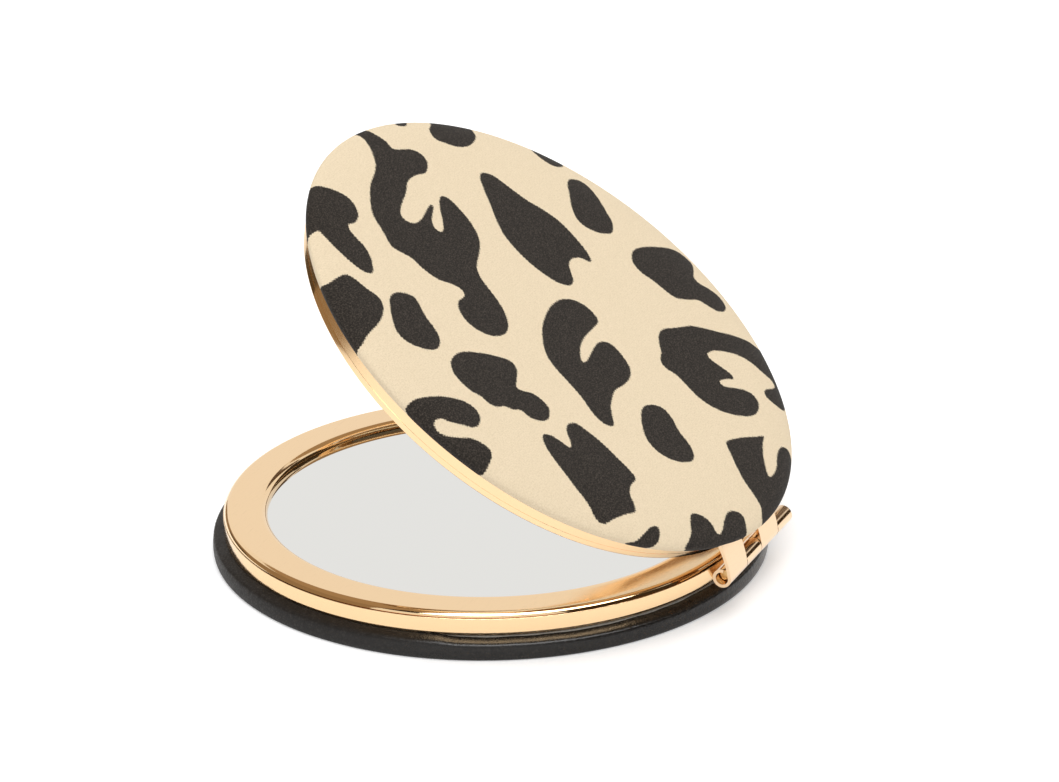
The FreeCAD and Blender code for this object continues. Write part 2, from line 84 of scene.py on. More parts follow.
# Sizes of the covers in the half frame
COVER_BORE = 33.7 * MM          # inner edge of both covers, round the metal wall
BOARD_RADIUS = 33.4 * MM
BOARD_TOP = 4.16 * MM
CLOTH_RADIUS = 35.3 * MM        # widest line of the cloth's soft edge
CLOTH_EDGE = 3.68 * MM          # height of that line
CLOTH_CROWN = 5.39 * MM
CLOTH_THICKNESS = 0.5 * MM
CLOTH_UNDER_ROUND = 0.9 * MM
LEATHER_FOOT = 5.65 * MM        # height of the flat underside
LEATHER_INSIDE = 4.89 * MM
LEATHER_EDGE = 3.02 * MM        # height of the inner edge at the metal wall
LEATHER_TURN = 3.35 * MM        # height at which the turned-in edge meets the bore
LEATHER_WIDEST = 4.2 * MM       # height of the widest line of its roll
LEATHER_ROLL = (                # (radius, height) places in millimetres that its roll follows, from the foot up
    (34.8, 5.65), (35.04, 5.5), (35.14, 5.0), (35.12, 4.3), (35.06, 3.85), (34.96, 3.56), (34.76, 3.38),
    (34.45, 3.26), (33.46, 3.02),
)
LEATHER_SHIFT = 0.13 * MM       # how far its roll lies off-centre
LEATHER_SHIFT_SIDE = math.radians(65.95)    # and towards which side, from +X of the half frame
LEATHER_SHIFT_REACH = 0.9 * MM  # from the bore outwards, where that shift grows to its full size
LEATHER_LEAST = 0.3 * MM        # what is left of its inner side under a strap
CLOTH_LEAST = 0.05 * MM         # what is left of the cloth's under edge over a strap
PUCKERS = 211                   # small puckers round the leather
PUCKER_REACH = 0.6 * MM         # from the bore outwards, where the puckers grow to their full depth
PUCKER_HEIGHT = 2.0 * MM        # from the foot up, likewise
FOAM_FIT = 0.05 * MM            # between the foam and the skin over it
LID_FOAM_RADIUS = 33.2 * MM
BASE_FOAM_CROWN = 0.15 * MM     # how much lower the base's foam is at its edge

# The gold ring over each mirror, in the half frame
RING_INNER = 28.0 * MM
RING_LIP = 1.0 * MM             # rounding of the inner lip
RING_SHEET = 0.38 * MM
RING_DEPTH = 1.1 * MM           # from the flat face to the mirror
RING_SKIRT = (32.79 * MM, 33.17 * MM, 1.92 * MM)    # inside, outside and lower end of the skirt in the pan
RING_SHARP = math.radians(30)   # corners sharper than this stay crisp

# Each ring's outer shoulder: end of the flat face, rounding, the angle in degrees at which that ends, and the radius
# and height of the edge below it
BASE_SHOULDER = (32.686 * MM, 0.84 * MM, -20.0, 33.5 * MM, 0.62 * MM)
LID_SHOULDER = (33.46 * MM, 0.16 * MM, 0.0, 33.62 * MM, 0.81 * MM)

# The hinge leaf's straps, which pass under the edge of each cover
LID_STRAPS = ((-4.8 * MM, 0.8 * MM), (5.6 * MM, 11.2 * MM))     # along X in the half frame
BASE_STRAPS = ((-5.6 * MM, -0.8 * MM), (4.8 * MM, 9.6 * MM))
STRAP_CLEARANCE = 0.16 * MM
STRAP_MARGIN = 0.55 * MM        # beside a strap, where the cover's edge still makes room
STRAP_EASE = 0.4 * MM           # over which the edge goes back
STRAP_START = (33.356 * MM, 3.283 * MM)                         # y and height where the strap leaves its bend
STRAP_SLOPE = 0.53
STRAP_CURVE = 60.0              # how the slope grows, per metre

# The leather's inner edge lies higher on one side of the base: angles in radians, and how gently it changes there
HIGH_EDGE_START, HIGH_EDGE_START_EASE = math.radians(-144), 0.05
HIGH_EDGE_END, HIGH_EDGE_END_EASE = math.radians(15.5), 0.03
EDGE_WANDER = ((0.14, 7, 1.0), (0.12, 17, 2.2), (0.12, 41, 0.0))    # share, waves round the base and start of each

# Polished metals: roughness, haze, scratches and ripple
METAL_FINISHES = {
    "Gold ring": (0.06, 0.03, 0.05, 0.002 * MM),
    "Gold sheet": (0.10, 0.05, 0.05, 0.004 * MM),
    "Hinge gold": (0.11, 0.06, 0.08, 0.006 * MM),
    "Pin metal": (0.24, 0.10, 0.10, 0.002 * MM),
    "Rivet metal": (0.22, 0.10, 0.10, 0.002 * MM),
    "Magnet": (0.20, 0.10, 0.10, 0.002 * MM),
}
MIRROR_WEAR = 0.001             # roughness, haze and scratches of the mirrors, low enough for a sharp reflection
LEATHER_POLISHED_SIDE = (-0.4075, 0.9132, 0.0)
LEATHER_POLISH = (-22 * MM, -4 * MM)    # places along that direction from fully dull to polished

# Camera of the photograph
CAMERA_AIM = Vector((-2.144 * MM, 4.803 * MM, 20.457 * MM))
CAMERA_DISTANCE = 625.4 * MM
CAMERA_AZIMUTH = math.radians(114.05)
CAMERA_ELEVATION = math.radians(22.82)
CAMERA_ROLL = math.radians(-0.804)
CAMERA_LENS = 169.97            # millimetres on a sensor 36 mm wide
CAMERA_SENSOR = 36.0
CAMERA_NEAR = 0.01              # metres, nothing nearer is drawn

# Stage
AMBIENT = 0.60                  # light of the surroundings, where a colour under full light is 1
FLOOR_GLOW = 0.30               # lifts how the floor is seen, so that its shadow stays faint
FLOOR_REACH = 4.0
LAMP_PLACE = Vector((0.14, 0.1, 1.2))
LAMP_AIM = Vector((0, 0, 0.02))
LAMP_SIZE = 1.2
LAMP_POWER = 9.3                # watts
CAMERA_FRONT = 24.05            # degrees from +X to the camera's side
CARD_COLUMNS, CARD_ROWS = 60, 6

# Painted reflections: cards round the object that only polished surfaces see; they give no light and cast no shadow.
# Radius in metres, colour, and the lower and upper edge of the card at some angles from the camera's side (to the
# right is positive); angles and rises are in degrees
REFLECTED_ROOM = {
    "tan_ceiling": (2.6, (0.40, 0.29, 0.18), ((-180, 34, 90), (-150, 38, 90), (150, 38, 90), (180, 34, 90))),
    "dark_corner": (2.5, (0.12, 0.08, 0.05), ((122, 26, 30), (130, 25, 34), (164, 25, 34), (172, 30, 33))),
    "tan_left": (
        2.45, (0.32, 0.23, 0.14),
        ((-157, 0, 15), (-140, 0, 19), (-128, 0, 29), (-120, 0, 38), (-50, 0, 50))),
    "dark_left": (2.4, (0.10, 0.07, 0.04), ((-140, 0, 10), (-124, 0, 14), (-117, 0, 0.5))),
    "dark_front": (
        2.5, (0.05, 0.035, 0.02),
        ((-50, 34, 58), (28, 34, 58), (34, 0, 58), (55, 0, 58),
         (75, 0, 40), (95, 0, 27), (125, 0, 24), (148, 0, 0.5))),
    # painted highlight: a card glowing at 7 times white that only reflections see; it lights nothing and is no lamp
    "reflection_only_glow": (2.3, (7.0, 7.0, 7.0), ((-33, 39, 83), (72, 39, 83))),
}

# Dark spots of the cloth's animal print: points of smooth closed outlines, in millimetres on the lid.
# Points beyond the rim run over the soft edge.
PRINT_SPOTS = {
    "antler": (
        (10.9, -3.4), (13.1, -4.3), (14.3, -6.4), (14.0, -8.6), (12.4, -10.1), (10.3, -10.2), (9.7, -11.2),
        (10.2, -12.3), (11.5, -14.0), (11.9, -16.0), (11.8, -18.0), (12.6, -20.0), (12.6, -21.0), (11.4, -22.9),
        (10.2, -25.0), (8.2, -26.7), (5.2, -28.4), (2.2, -29.4), (0.2, -30.4), (-2.0, -32.4), (-3.2, -34.2),
        (-3.6, -36.0), (-5.6, -35.6), (-5.7, -33.4), (-5.6, -31.8), (-5.1, -30.6), (-5.7, -30.0), (-7.7, -29.0),
        (-8.4, -27.6), (-7.6, -26.2), (-5.5, -25.4), (-3.6, -25.9), (-1.2, -25.9), (1.2, -24.9), (4.4, -23.9),
        (5.9, -23.0), (6.0, -21.8), (5.0, -21.1), (3.2, -21.1), (1.4, -21.5), (-0.4, -21.8), (-0.6, -21.4),
        (0.4, -20.9), (2.0, -20.2), (2.9, -19.4), (3.0, -18.6), (2.4, -18.2), (1.0, -18.9), (-0.5, -20.1),
        (-2.2, -21.3), (-3.6, -21.8), (-4.4, -21.0), (-4.2, -19.0), (-3.6, -17.0), (-2.5, -15.2), (-1.0, -13.9),
        (1.0, -13.0), (3.4, -12.0), (4.7, -10.6), (5.4, -8.8), (6.2, -6.8), (7.4, -5.0), (9.0, -3.8),
    ),
    "s_shape": (
        (10.2, 13.9), (11.1, 13.1), (11.2, 11.6), (10.7, 10.2), (10.0, 8.6), (9.6, 7.0), (9.2, 5.0), (8.8, 3.4),
        (7.9, 1.8), (6.0, 0.2), (3.6, -1.1), (0.6, -2.0), (-2.0, -2.3), (-4.2, -2.0), (-5.8, -1.0), (-6.6, 0.4),
        (-6.6, 2.0), (-5.8, 3.1), (-4.0, 3.3), (-1.2, 3.4), (1.2, 3.9), (3.0, 4.8), (3.7, 5.4), (3.2, 5.8),
        (1.6, 5.6), (-0.4, 5.2), (-2.2, 5.1), (-3.5, 5.7), (-3.9, 6.9), (-3.3, 8.9), (-2.3, 10.3), (-0.6, 11.0),
        (1.4, 11.1), (3.8, 10.9), (6.0, 11.5), (7.6, 12.2), (9.0, 13.3),
    ),
    "upper_oval": (
        (4.1, 23.7), (6.2, 22.7), (7.5, 21.0), (7.8, 19.4), (7.2, 17.7), (5.4, 16.1), (3.4, 15.0), (1.7, 14.8),
        (0.1, 15.6), (-0.6, 16.8), (-0.1, 18.4), (1.0, 20.0), (1.6, 21.8), (2.5, 23.1),
    ),
    "jagged_blob": (
        (20.8, 23.2), (22.5, 22.6), (24.8, 22.0), (26.6, 21.6), (27.0, 20.4), (26.2, 18.6), (25.6, 16.2),
        (24.9, 13.8), (24.2, 11.6), (23.3, 9.8), (22.1, 8.9), (21.0, 9.5), (20.5, 11.0), (20.2, 12.2),
        (19.2, 11.8), (18.0, 10.5), (16.6, 10.0), (15.3, 10.6), (14.9, 12.2), (14.7, 14.4), (14.9, 16.8),
        (15.1, 19.0), (15.6, 20.4), (17.4, 20.6), (18.8, 21.2), (19.8, 22.4),
    ),
    "hinge_arrow": (
        (-14.3, 30.9), (-13.2, 30.3), (-11.2, 30.6), (-9.0, 31.6), (-7.0, 32.0), (-5.9, 31.8), (-6.6, 30.9),
        (-8.2, 29.6), (-10.4, 28.4), (-11.9, 27.8), (-10.6, 27.2), (-8.0, 26.0), (-5.4, 25.1), (-4.4, 25.1),
        (-3.4, 26.2), (-2.0, 28.0), (-0.8, 30.0), (-0.2, 32.0), (0.5, 33.8), (1.8, 34.9), (1.8, 36.6),
        (-6.0, 36.8), (-10.0, 35.4), (-13.0, 33.2), (-14.2, 31.9),
    ),
    "far_ring": (
        (-28.4, 19.2), (-27.4, 17.6), (-25.2, 15.6), (-23.0, 13.8), (-20.4, 11.6), (-18.6, 10.8), (-16.8, 10.1),
        (-15.2, 9.4), (-13.8, 9.3), (-12.2, 9.9), (-10.4, 11.2), (-8.6, 12.1), (-8.2, 13.3), (-8.6, 14.6),
        (-8.4, 16.4), (-8.1, 18.4), (-8.5, 20.4), (-9.6, 22.2), (-11.4, 23.8), (-13.4, 24.9), (-15.2, 25.1),
        (-17.0, 24.5), (-17.7, 23.2), (-16.9, 21.8), (-15.0, 20.4), (-14.2, 19.6), (-14.6, 19.0), (-16.0, 19.4),
        (-17.2, 20.0), (-17.7, 19.3), (-17.4, 17.8), (-17.1, 16.2), (-17.6, 15.4), (-19.2, 15.7), (-21.0, 16.8),
        (-22.6, 18.2), (-23.6, 20.0), (-24.0, 22.0), (-24.4, 23.6), (-23.8, 24.4), (-22.4, 24.2), (-21.0, 23.8),
        (-20.0, 24.2), (-19.9, 25.4), (-20.8, 27.2), (-22.2, 27.6), (-23.5, 29.5), (-27.5, 25.5), (-30.0, 21.5),
    ),
    "far_head": (
        (-29.0, 12.9), (-27.6, 12.2), (-26.9, 10.8), (-26.3, 9.6), (-24.8, 8.8), (-23.0, 7.6), (-22.5, 6.2),
        (-22.3, 4.0), (-21.9, 2.0), (-22.4, 0.4), (-23.8, -0.5), (-25.4, -0.7), (-27.6, -0.1), (-30.0, 1.0),
        (-32.4, 2.4), (-33.4, 3.8), (-33.4, 5.4), (-32.0, 6.3), (-30.4, 7.0), (-30.1, 8.0), (-30.9, 9.4),
        (-31.4, 11.0), (-30.6, 12.5),
    ),
    "far_oval": (
        (-24.6, -4.3), (-22.6, -5.2), (-21.3, -7.0), (-21.4, -8.6), (-22.8, -10.2), (-25.0, -11.7), (-26.8, -12.9),
        (-28.4, -13.2), (-30.0, -12.2), (-30.2, -10.8), (-29.4, -9.0), (-28.0, -7.0), (-26.6, -5.2),
    ),
    "tooth": (
        (-15.5, -3.2), (-14.6, -4.4), (-13.4, -5.0), (-11.8, -4.9), (-10.4, -3.8), (-9.2, -2.8), (-7.8, -2.7),
        (-6.6, -3.8), (-5.9, -5.6), (-5.6, -8.0), (-5.8, -10.4), (-6.6, -13.0), (-8.2, -15.2), (-10.0, -17.2),
        (-12.0, -19.4), (-13.4, -20.7), (-14.6, -20.9), (-15.8, -19.8), (-16.2, -17.4), (-16.6, -14.8),
        (-17.6, -12.0), (-18.0, -9.6), (-17.6, -7.0), (-16.9, -4.8), (-16.2, -3.6),
    ),
    "top_oval": (
        (-18.0, -24.8), (-16.0, -25.4), (-14.6, -26.8), (-13.8, -28.2), (-14.8, -29.6), (-16.6, -30.2),
        (-19.0, -31.0), (-23.5, -28.0), (-22.0, -25.9), (-20.4, -25.0),
    ),
    "rim_sliver": (
        (-30.6, -15.2), (-28.6, -15.8), (-28.0, -17.2), (-28.2, -18.8), (-29.6, -20.4), (-31.4, -18.4),
        (-32.0, -16.4),
    ),
    "rim_mark": ((-13.8, -32.8), (-12.4, -32.0), (-11.2, -32.8), (-12.6, -34.0)),
    "claw": (
        (20.0, -19.6), (20.9, -20.6), (21.0, -22.6), (20.6, -25.0), (20.0, -27.0), (19.7, -28.0), (21.0, -28.4),
        (24.0, -29.0), (16.0, -34.5), (12.4, -33.0), (11.4, -31.8), (10.6, -30.0), (10.5, -28.6), (11.2, -27.2),
        (12.4, -26.2), (14.0, -25.9), (15.0, -26.2), (15.8, -25.6), (16.3, -24.2), (16.6, -22.8), (17.6, -21.2),
        (18.8, -20.2),
    ),
    "near_block": (
        (24.9, -15.0), (27.0, -14.4), (30.0, -14.2), (32.6, -13.8), (35.5, -14.5), (33.0, -20.0), (29.0, -24.0),
        (27.2, -22.4), (25.2, -22.0), (23.6, -21.6), (23.2, -20.4), (23.2, -18.6), (23.0, -17.0), (23.6, -15.8),
    ),
    "narrow_oval": (
        (23.0, -7.4), (24.6, -8.0), (25.9, -9.6), (26.3, -11.2), (25.6, -12.8), (23.8, -14.4), (21.8, -15.8),
        (20.2, -16.0), (18.7, -15.2), (18.0, -14.0), (18.6, -12.8), (19.6, -11.2), (20.2, -9.6), (21.2, -8.1),
    ),
    "near_head": (
        (18.6, 7.9), (20.2, 7.4), (21.1, 6.2), (21.2, 5.0), (22.2, 4.2), (23.0, 3.2), (24.2, 2.6), (24.7, 1.6),
        (24.7, 0.4), (25.2, -0.8), (25.2, -2.6), (24.6, -4.2), (23.2, -5.2), (21.4, -5.4), (19.6, -4.9),
        (17.4, -3.4), (15.4, -1.6), (14.5, -0.2), (15.2, 1.0), (16.8, 1.8), (18.0, 2.4), (17.8, 3.2), (16.8, 4.2),
        (16.4, 5.6), (16.8, 7.0),
    ),
    "near_hook": (
        (29.4, 2.8), (28.0, 2.2), (27.4, 0.8), (28.0, -0.8), (29.6, -2.4), (31.8, -3.8), (34.0, -4.7),
        (36.0, -4.2), (37.4, 0.0), (37.2, 5.2), (35.5, 7.3), (33.2, 7.0), (31.6, 6.2), (31.5, 4.8), (32.2, 3.4),
        (33.6, 2.2), (34.8, 0.8), (34.9, -0.4), (34.2, -1.1), (33.2, -0.8), (32.4, 0.4), (31.2, 1.8), (30.4, 2.6),
    ),
    "fang_pair": (
        (5.7, 34.1), (4.9, 32.9), (5.4, 31.8), (6.9, 31.2), (8.7, 31.6), (10.1, 32.2), (11.2, 32.4), (11.5, 31.8),
        (11.2, 31.0), (11.2, 29.8), (12.0, 28.6), (13.0, 28.2), (14.2, 28.8), (15.6, 29.8), (16.9, 30.3),
        (17.9, 30.8), (17.0, 33.5), (12.0, 36.5), (8.0, 36.5), (6.4, 34.9),
    ),
    "hinge_sliver": (
        (19.6, 26.4), (20.4, 27.3), (21.8, 27.8), (24.5, 27.5), (25.5, 25.4), (24.0, 25.8), (22.0, 25.8),
        (20.6, 25.8),
    ),
}
OUTLINE_STEPS = 6               # straight pieces between two points of an outline
PRINT_REACH = 2.0               # millimetres round a spot in which its distance is worked out


class CompactMirrorSizes(bpy.types.PropertyGroup):
    """Sizes of the soft pieces and of their finish."""

    cloth_segments: IntProperty(
        name="Cloth segments", description="Segments of the cloth round the lid", default=512, min=64)
    leather_segments: IntProperty(
        name="Leather segments", description="Segments of the leather round the base", default=720, min=64)
    foam_segments: IntProperty(
        name="Foam segments", description="Segments of the hidden foam", default=256, min=32)
    ring_segments: IntProperty(
        name="Ring segments", description="Segments of the gold rings", default=512, min=64)
    cloth_flatness: FloatProperty(
        name="Cloth flatness", description="Higher keeps the padded top flat nearer to its soft edge",
        default=7.0, min=2.0)
    thread_pitch: FloatProperty(
        name="Thread pitch", description="Distance from one thread of the cloth to the next, in millimetres",
        default=0.24, min=0.05)
    edge_wave: FloatProperty(
        name="Edge wave", description="How far the leather's inner edge wanders up and down",
        default=0.12 * MM, unit="LENGTH", subtype="DISTANCE")
    pucker: FloatProperty(
        name="Pucker", description="Depth of the small puckers along the leather's roll",
        default=0.02 * MM, unit="LENGTH", subtype="DISTANCE")
    leather_grain: FloatProperty(
        name="Leather grain", description="Cells of the leather's grain per metre", default=2600.0, min=100.0)


class CompactMirrorColours(bpy.types.PropertyGroup):
    """Colours of the finishes, as linear values."""

    gold: FloatVectorProperty(
        name="Gold", description="Polished gold-toned metal", subtype="COLOR", size=4,
        default=(0.87, 0.62, 0.36, 1.0), min=0.0, max=1.0)
    hinge: FloatVectorProperty(
        name="Hinge", description="Paler gold of the hinge leaves", subtype="COLOR", size=4,
        default=(0.78, 0.56, 0.355, 1.0), min=0.0, max=1.0)
    pin: FloatVectorProperty(
        name="Pin", description="Brass of the hinge pin and the rivets", subtype="COLOR", size=4,
        default=(0.62, 0.40, 0.18, 1.0), min=0.0, max=1.0)
    glass: FloatVectorProperty(
        name="Mirror", description="Silvered mirror glass", subtype="COLOR", size=4,
        default=(0.755, 0.748, 0.72, 1.0), min=0.0, max=1.0)
    cloth: FloatVectorProperty(
        name="Cloth", description="Cream ground of the cloth", subtype="COLOR", size=4,
        default=(0.87, 0.725, 0.52, 1.0), min=0.0, max=1.0)
    print_dark: FloatVectorProperty(
        name="Print", description="Dark spots of the cloth", subtype="COLOR", size=4,
        default=(0.019, 0.0155, 0.0125, 1.0), min=0.0, max=1.0)
    leather: FloatVectorProperty(
        name="Leather", description="Black leather", subtype="COLOR", size=4,
        default=(0.011, 0.0095, 0.0085, 1.0), min=0.0, max=1.0)
    foam: FloatVectorProperty(
        name="Foam", description="Thin foam under the covers", subtype="COLOR", size=4,
        default=(0.80, 0.78, 0.70, 1.0), min=0.0, max=1.0)
    board: FloatVectorProperty(
        name="Board", description="Grey board under the foam", subtype="COLOR", size=4,
        default=(0.33, 0.31, 0.28, 1.0), min=0.0, max=1.0)
    tape: FloatVectorProperty(
        name="Tape", description="Double-sided tape behind the glass", subtype="COLOR", size=4,
        default=(0.85, 0.84, 0.80, 1.0), min=0.0, max=1.0)
    magnet: FloatVectorProperty(
        name="Magnet", description="Nickel plating of the magnets", subtype="COLOR", size=4,
        default=(0.60, 0.59, 0.57, 1.0), min=0.0, max=1.0)
    floor: FloatVectorProperty(
        name="Floor", description="Studio floor", subtype="COLOR", size=4,
        default=(0.97, 0.97, 0.97, 1.0), min=0.0, max=1.0)


def sizes():
    """The scene's sizes."""
    return bpy.context.scene.compact_mirror_sizes


def colours():
    """The scene's colours."""
    return bpy.context.scene.compact_mirror_colours


# Shader nodes

def fill_socket(tree, socket, value):
    """Links a socket to another one, or sets it to a value."""
    if isinstance(value, bpy.types.NodeSocket):
        tree.links.new(value, socket)
    else:
        socket.default_value = value


def put(tree, kind, inputs=None, **settings):
    """Adds a shader node; an input given as a socket is linked, one given as a value is set."""
    made = tree.nodes.new("ShaderNode" + kind)
    for name, value in settings.items():
        setattr(made, name, value)
    for key, value in (inputs or {}).items():
        fill_socket(tree, made.inputs[key], value)
    return made


def reckon(tree, operation, first, second=0.0):
    """Result of a maths node."""
    return put(tree, "Math", {0: first, 1: second}, operation=operation).outputs[0]


def fade(tree, value, low, high, to_low=0.0, to_high=1.0):
    """A value carried from one range to another, and held at its ends."""
    inputs = {"Value": value, "From Min": low, "From Max": high, "To Min": to_low, "To Max": to_high}
    return put(tree, "MapRange", inputs).outputs[0]


def blend_colours(tree, share, first, second):
    """The first colour going over to the second."""
    return put(tree, "Mix", {0: share, 6: first, 7: second}, data_type="RGBA").outputs[2]


def object_place(tree):
    """Place on the piece, in metres."""
    return put(tree, "TexCoord").outputs["Object"]


def empty_material(name):
    """A new material without nodes: (material, tree)."""
    material = bpy.data.materials.new(name)
    material.use_nodes = True
    material.node_tree.nodes.clear()
    return material, material.node_tree


def finish_material(name):
    """A new material with only its surface shader and output: (material, tree, shader)."""
    material, tree = empty_material(name)
    shader = put(tree, "BsdfPrincipled")
    put(tree, "OutputMaterial", {"Surface": shader.outputs[0]})
    return material, tree, shader


def feed(tree, shader, **values):
    """Sets or links the shader's sockets; an underscore in a name stands for a space."""
    for name, value in values.items():
        fill_socket(tree, shader.inputs[name.replace("_", " ")], value)


def toned(colour, factor):
    """A colour made darker or lighter."""
    return tuple(min(1.0, channel * factor) for channel in colour[:3]) + (1.0,)


def new_group(name, inputs, outputs):
    """A shader node group with the named sockets: (group, its inputs, its output node)."""
    group = bpy.data.node_groups.new(name, "ShaderNodeTree")
    for label, kind, default in inputs:
        socket = group.interface.new_socket(label, in_out="INPUT", socket_type=kind)
        if default is not None:
            socket.default_value = default
    for label, kind in outputs:
        group.interface.new_socket(label, in_out="OUTPUT", socket_type=kind)
    entry = group.nodes.new("NodeGroupInput")
    leave = group.nodes.new("NodeGroupOutput")
    return group, entry.outputs, leave.inputs


def metal_wear_group():
    """Hairline scratches and a faint haze on polished metal and glass."""
    group, given, result = new_group(
        "Metal wear",
        [
            ("Place", "NodeSocketVector", None),
            ("Roughness", "NodeSocketFloat", 0.1),
            ("Haze", "NodeSocketFloat", 0.05),
            ("Scratches", "NodeSocketFloat", 0.1),
        ],
        [("Roughness", "NodeSocketFloat"), ("Scratches", "NodeSocketFloat"), ("Height", "NodeSocketFloat")],
    )
    haze = put(group, "TexNoise", {"Vector": given["Place"], "Scale": 160.0, "Detail": 3.0}).outputs[0]
    hazy = reckon(group, "MULTIPLY", fade(group, haze, 0.4, 0.7), given["Haze"])
    lines = []
    for turn in (0.5, 2.1):
        laid = put(group, "Mapping", {
            "Vector": given["Place"], "Rotation": (turn, 0.3, turn), "Scale": (1.0, 22.0, 22.0)})
        hair = put(group, "TexNoise", {"Vector": laid.outputs[0], "Scale": 420.0, "Detail": 2.0}).outputs[0]
        lines.append(fade(group, hair, 0.64, 0.72))
    scratched = reckon(group, "MAXIMUM", lines[0], lines[1])
    scratches = reckon(group, "MULTIPLY", scratched, given["Scratches"])
    rough = reckon(group, "ADD", reckon(group, "ADD", given["Roughness"], hazy), scratches)
    wave = put(group, "TexNoise", {"Vector": given["Place"], "Scale": 190.0, "Detail": 0.0}).outputs[0]
    group.links.new(rough, result["Roughness"])
    group.links.new(scratched, result["Scratches"])
    group.links.new(wave, result["Height"])
    return group


def cell_grain_group():
    """Rounded cells with sunken lines between them, as in leather grain and foam pores."""
    group, given, result = new_group(
        "Cell grain",
        [("Place", "NodeSocketVector", None), ("Cells", "NodeSocketFloat", 2000.0)],
        [("Height", "NodeSocketFloat"), ("Shade", "NodeSocketFloat")],
    )
    stray = put(group, "TexNoise", {"Vector": given["Place"], "Scale": 900.0, "Detail": 2.0}).outputs["Color"]
    off = put(group, "VectorMath", {0: stray, 1: (0.0003, 0.0003, 0.0003)}, operation="MULTIPLY").outputs[0]
    place = put(group, "VectorMath", {0: given["Place"], 1: off}, operation="ADD").outputs[0]
    cells = put(group, "TexVoronoi", {"Vector": place, "Scale": given["Cells"]}, feature="DISTANCE_TO_EDGE")
    dome = fade(group, cells.outputs[0], 0.0, 0.22)
    colour = put(group, "TexVoronoi", {"Vector": place, "Scale": given["Cells"]}, feature="F1").outputs["Color"]
    shade = put(group, "SeparateXYZ", {0: colour}).outputs[0]
    group.links.new(dome, result["Height"])
    group.links.new(shade, result["Shade"])
    return group


def place_group(tree, name, build, inputs):
    """A shared effect placed in a material; its node group is built at its first use."""
    return put(tree, "Group", inputs, node_tree=bpy.data.node_groups.get(name) or build()).outputs


# Finishes

def polished_metal(name, colour):
    """Polished metal with hairline scratches, a faint haze and the slight ripple of pressed sheet."""
    roughness, haze, scratches, ripple = METAL_FINISHES[name]
    material, tree, shader = finish_material(name)
    wear = place_group(tree, "Metal wear", metal_wear_group, {
        "Place": object_place(tree), "Roughness": roughness, "Haze": haze, "Scratches": scratches})
    dull_share = reckon(tree, "MULTIPLY", wear["Scratches"], 0.35)
    tint = blend_colours(tree, dull_share, tuple(colour), toned(colour, 0.86))
    bump = put(tree, "Bump", {"Strength": 1.0, "Distance": ripple, "Height": wear["Height"]}).outputs[0]
    feed(tree, shader, Base_Color=tint, Metallic=1.0, Roughness=wear["Roughness"], Normal=bump)
    return material


def mirror_finish():
    """Silvered glass with the faintest haze of wiping."""
    material, tree, shader = finish_material("Mirror glass")
    wear = place_group(tree, "Metal wear", metal_wear_group, {
        "Place": object_place(tree), "Roughness": MIRROR_WEAR, "Haze": MIRROR_WEAR, "Scratches": MIRROR_WEAR})
    feed(tree, shader, Base_Color=tuple(colours().glass), Metallic=1.0, Roughness=wear["Roughness"])
    return material


def cloth_finish():
    """Plain-woven cream cloth with a dark animal print whose edges follow the threads."""
    material, tree, shader = finish_material("Printed cloth")
    laid = put(tree, "Attribute", attribute_name="cloth_place")
    parts = put(tree, "SeparateXYZ", {0: laid.outputs["Vector"]}).outputs
    step = math.pi / sizes().thread_pitch
    warp = reckon(tree, "SINE", reckon(tree, "MULTIPLY", parts[0], step))
    weft = reckon(tree, "SINE", reckon(tree, "MULTIPLY", parts[1], step))
    over = fade(tree, reckon(tree, "MULTIPLY", warp, weft), -0.3, 0.3)
    warp_height = reckon(tree, "ABSOLUTE", warp)
    weft_height = reckon(tree, "ABSOLUTE", weft)
    weave = put(tree, "Mix", {0: over, 2: weft_height, 3: warp_height}, data_type="FLOAT").outputs[0]

    stray = put(tree, "TexNoise", {"Vector": laid.outputs["Vector"], "Scale": 4.0, "Detail": 3.0}).outputs[0]
    jag = reckon(tree, "ADD", fade(tree, stray, 0.25, 0.75, -0.08, 0.08), fade(tree, over, 0.0, 1.0, -0.05, 0.05))
    printed = fade(tree, reckon(tree, "ADD", parts[2], jag), -0.07, 0.07, 1.0, 0.0)

    # partly painted shade: the cream turns to its shaded tone where the weave sinks between the threads; the rest is
    # random tone from flecks and slubs
    cream = tuple(colours().cloth)
    shaded = tuple(channel * factor for channel, factor in zip(cream, (0.84, 0.82, 0.77, 1.0)))
    dark = tuple(colours().print_dark)
    slub = put(tree, "TexNoise", {"Vector": laid.outputs["Vector"], "Scale": 0.9, "Detail": 5.0}).outputs[0]
    flecks = put(tree, "TexNoise", {"Vector": laid.outputs["Vector"], "Scale": 4.5, "Detail": 3.0}).outputs[0]
    thread = put(tree, "Mix", {0: 0.25, 2: fade(tree, flecks, 0.3, 0.6), 3: weave}, data_type="FLOAT").outputs[0]
    lit = reckon(tree, "MULTIPLY", thread, fade(tree, slub, 0.2, 0.8, 0.8, 1.1))
    ground = blend_colours(tree, lit, shaded, cream)
    ink = blend_colours(tree, fade(tree, flecks, 0.45, 0.75), dark, toned(dark, 4.0))
    colour = blend_colours(tree, printed, ground, ink)
    bump = put(tree, "Bump", {"Strength": 0.5, "Distance": 0.03 * MM, "Height": thread}).outputs[0]
    feed(tree, shader, Base_Color=colour, Roughness=fade(tree, weave, 0.0, 1.0, 0.95, 0.8), Normal=bump,
         Sheen_Weight=0.08, Sheen_Roughness=0.4, Specular_IOR_Level=0.25)
    return material


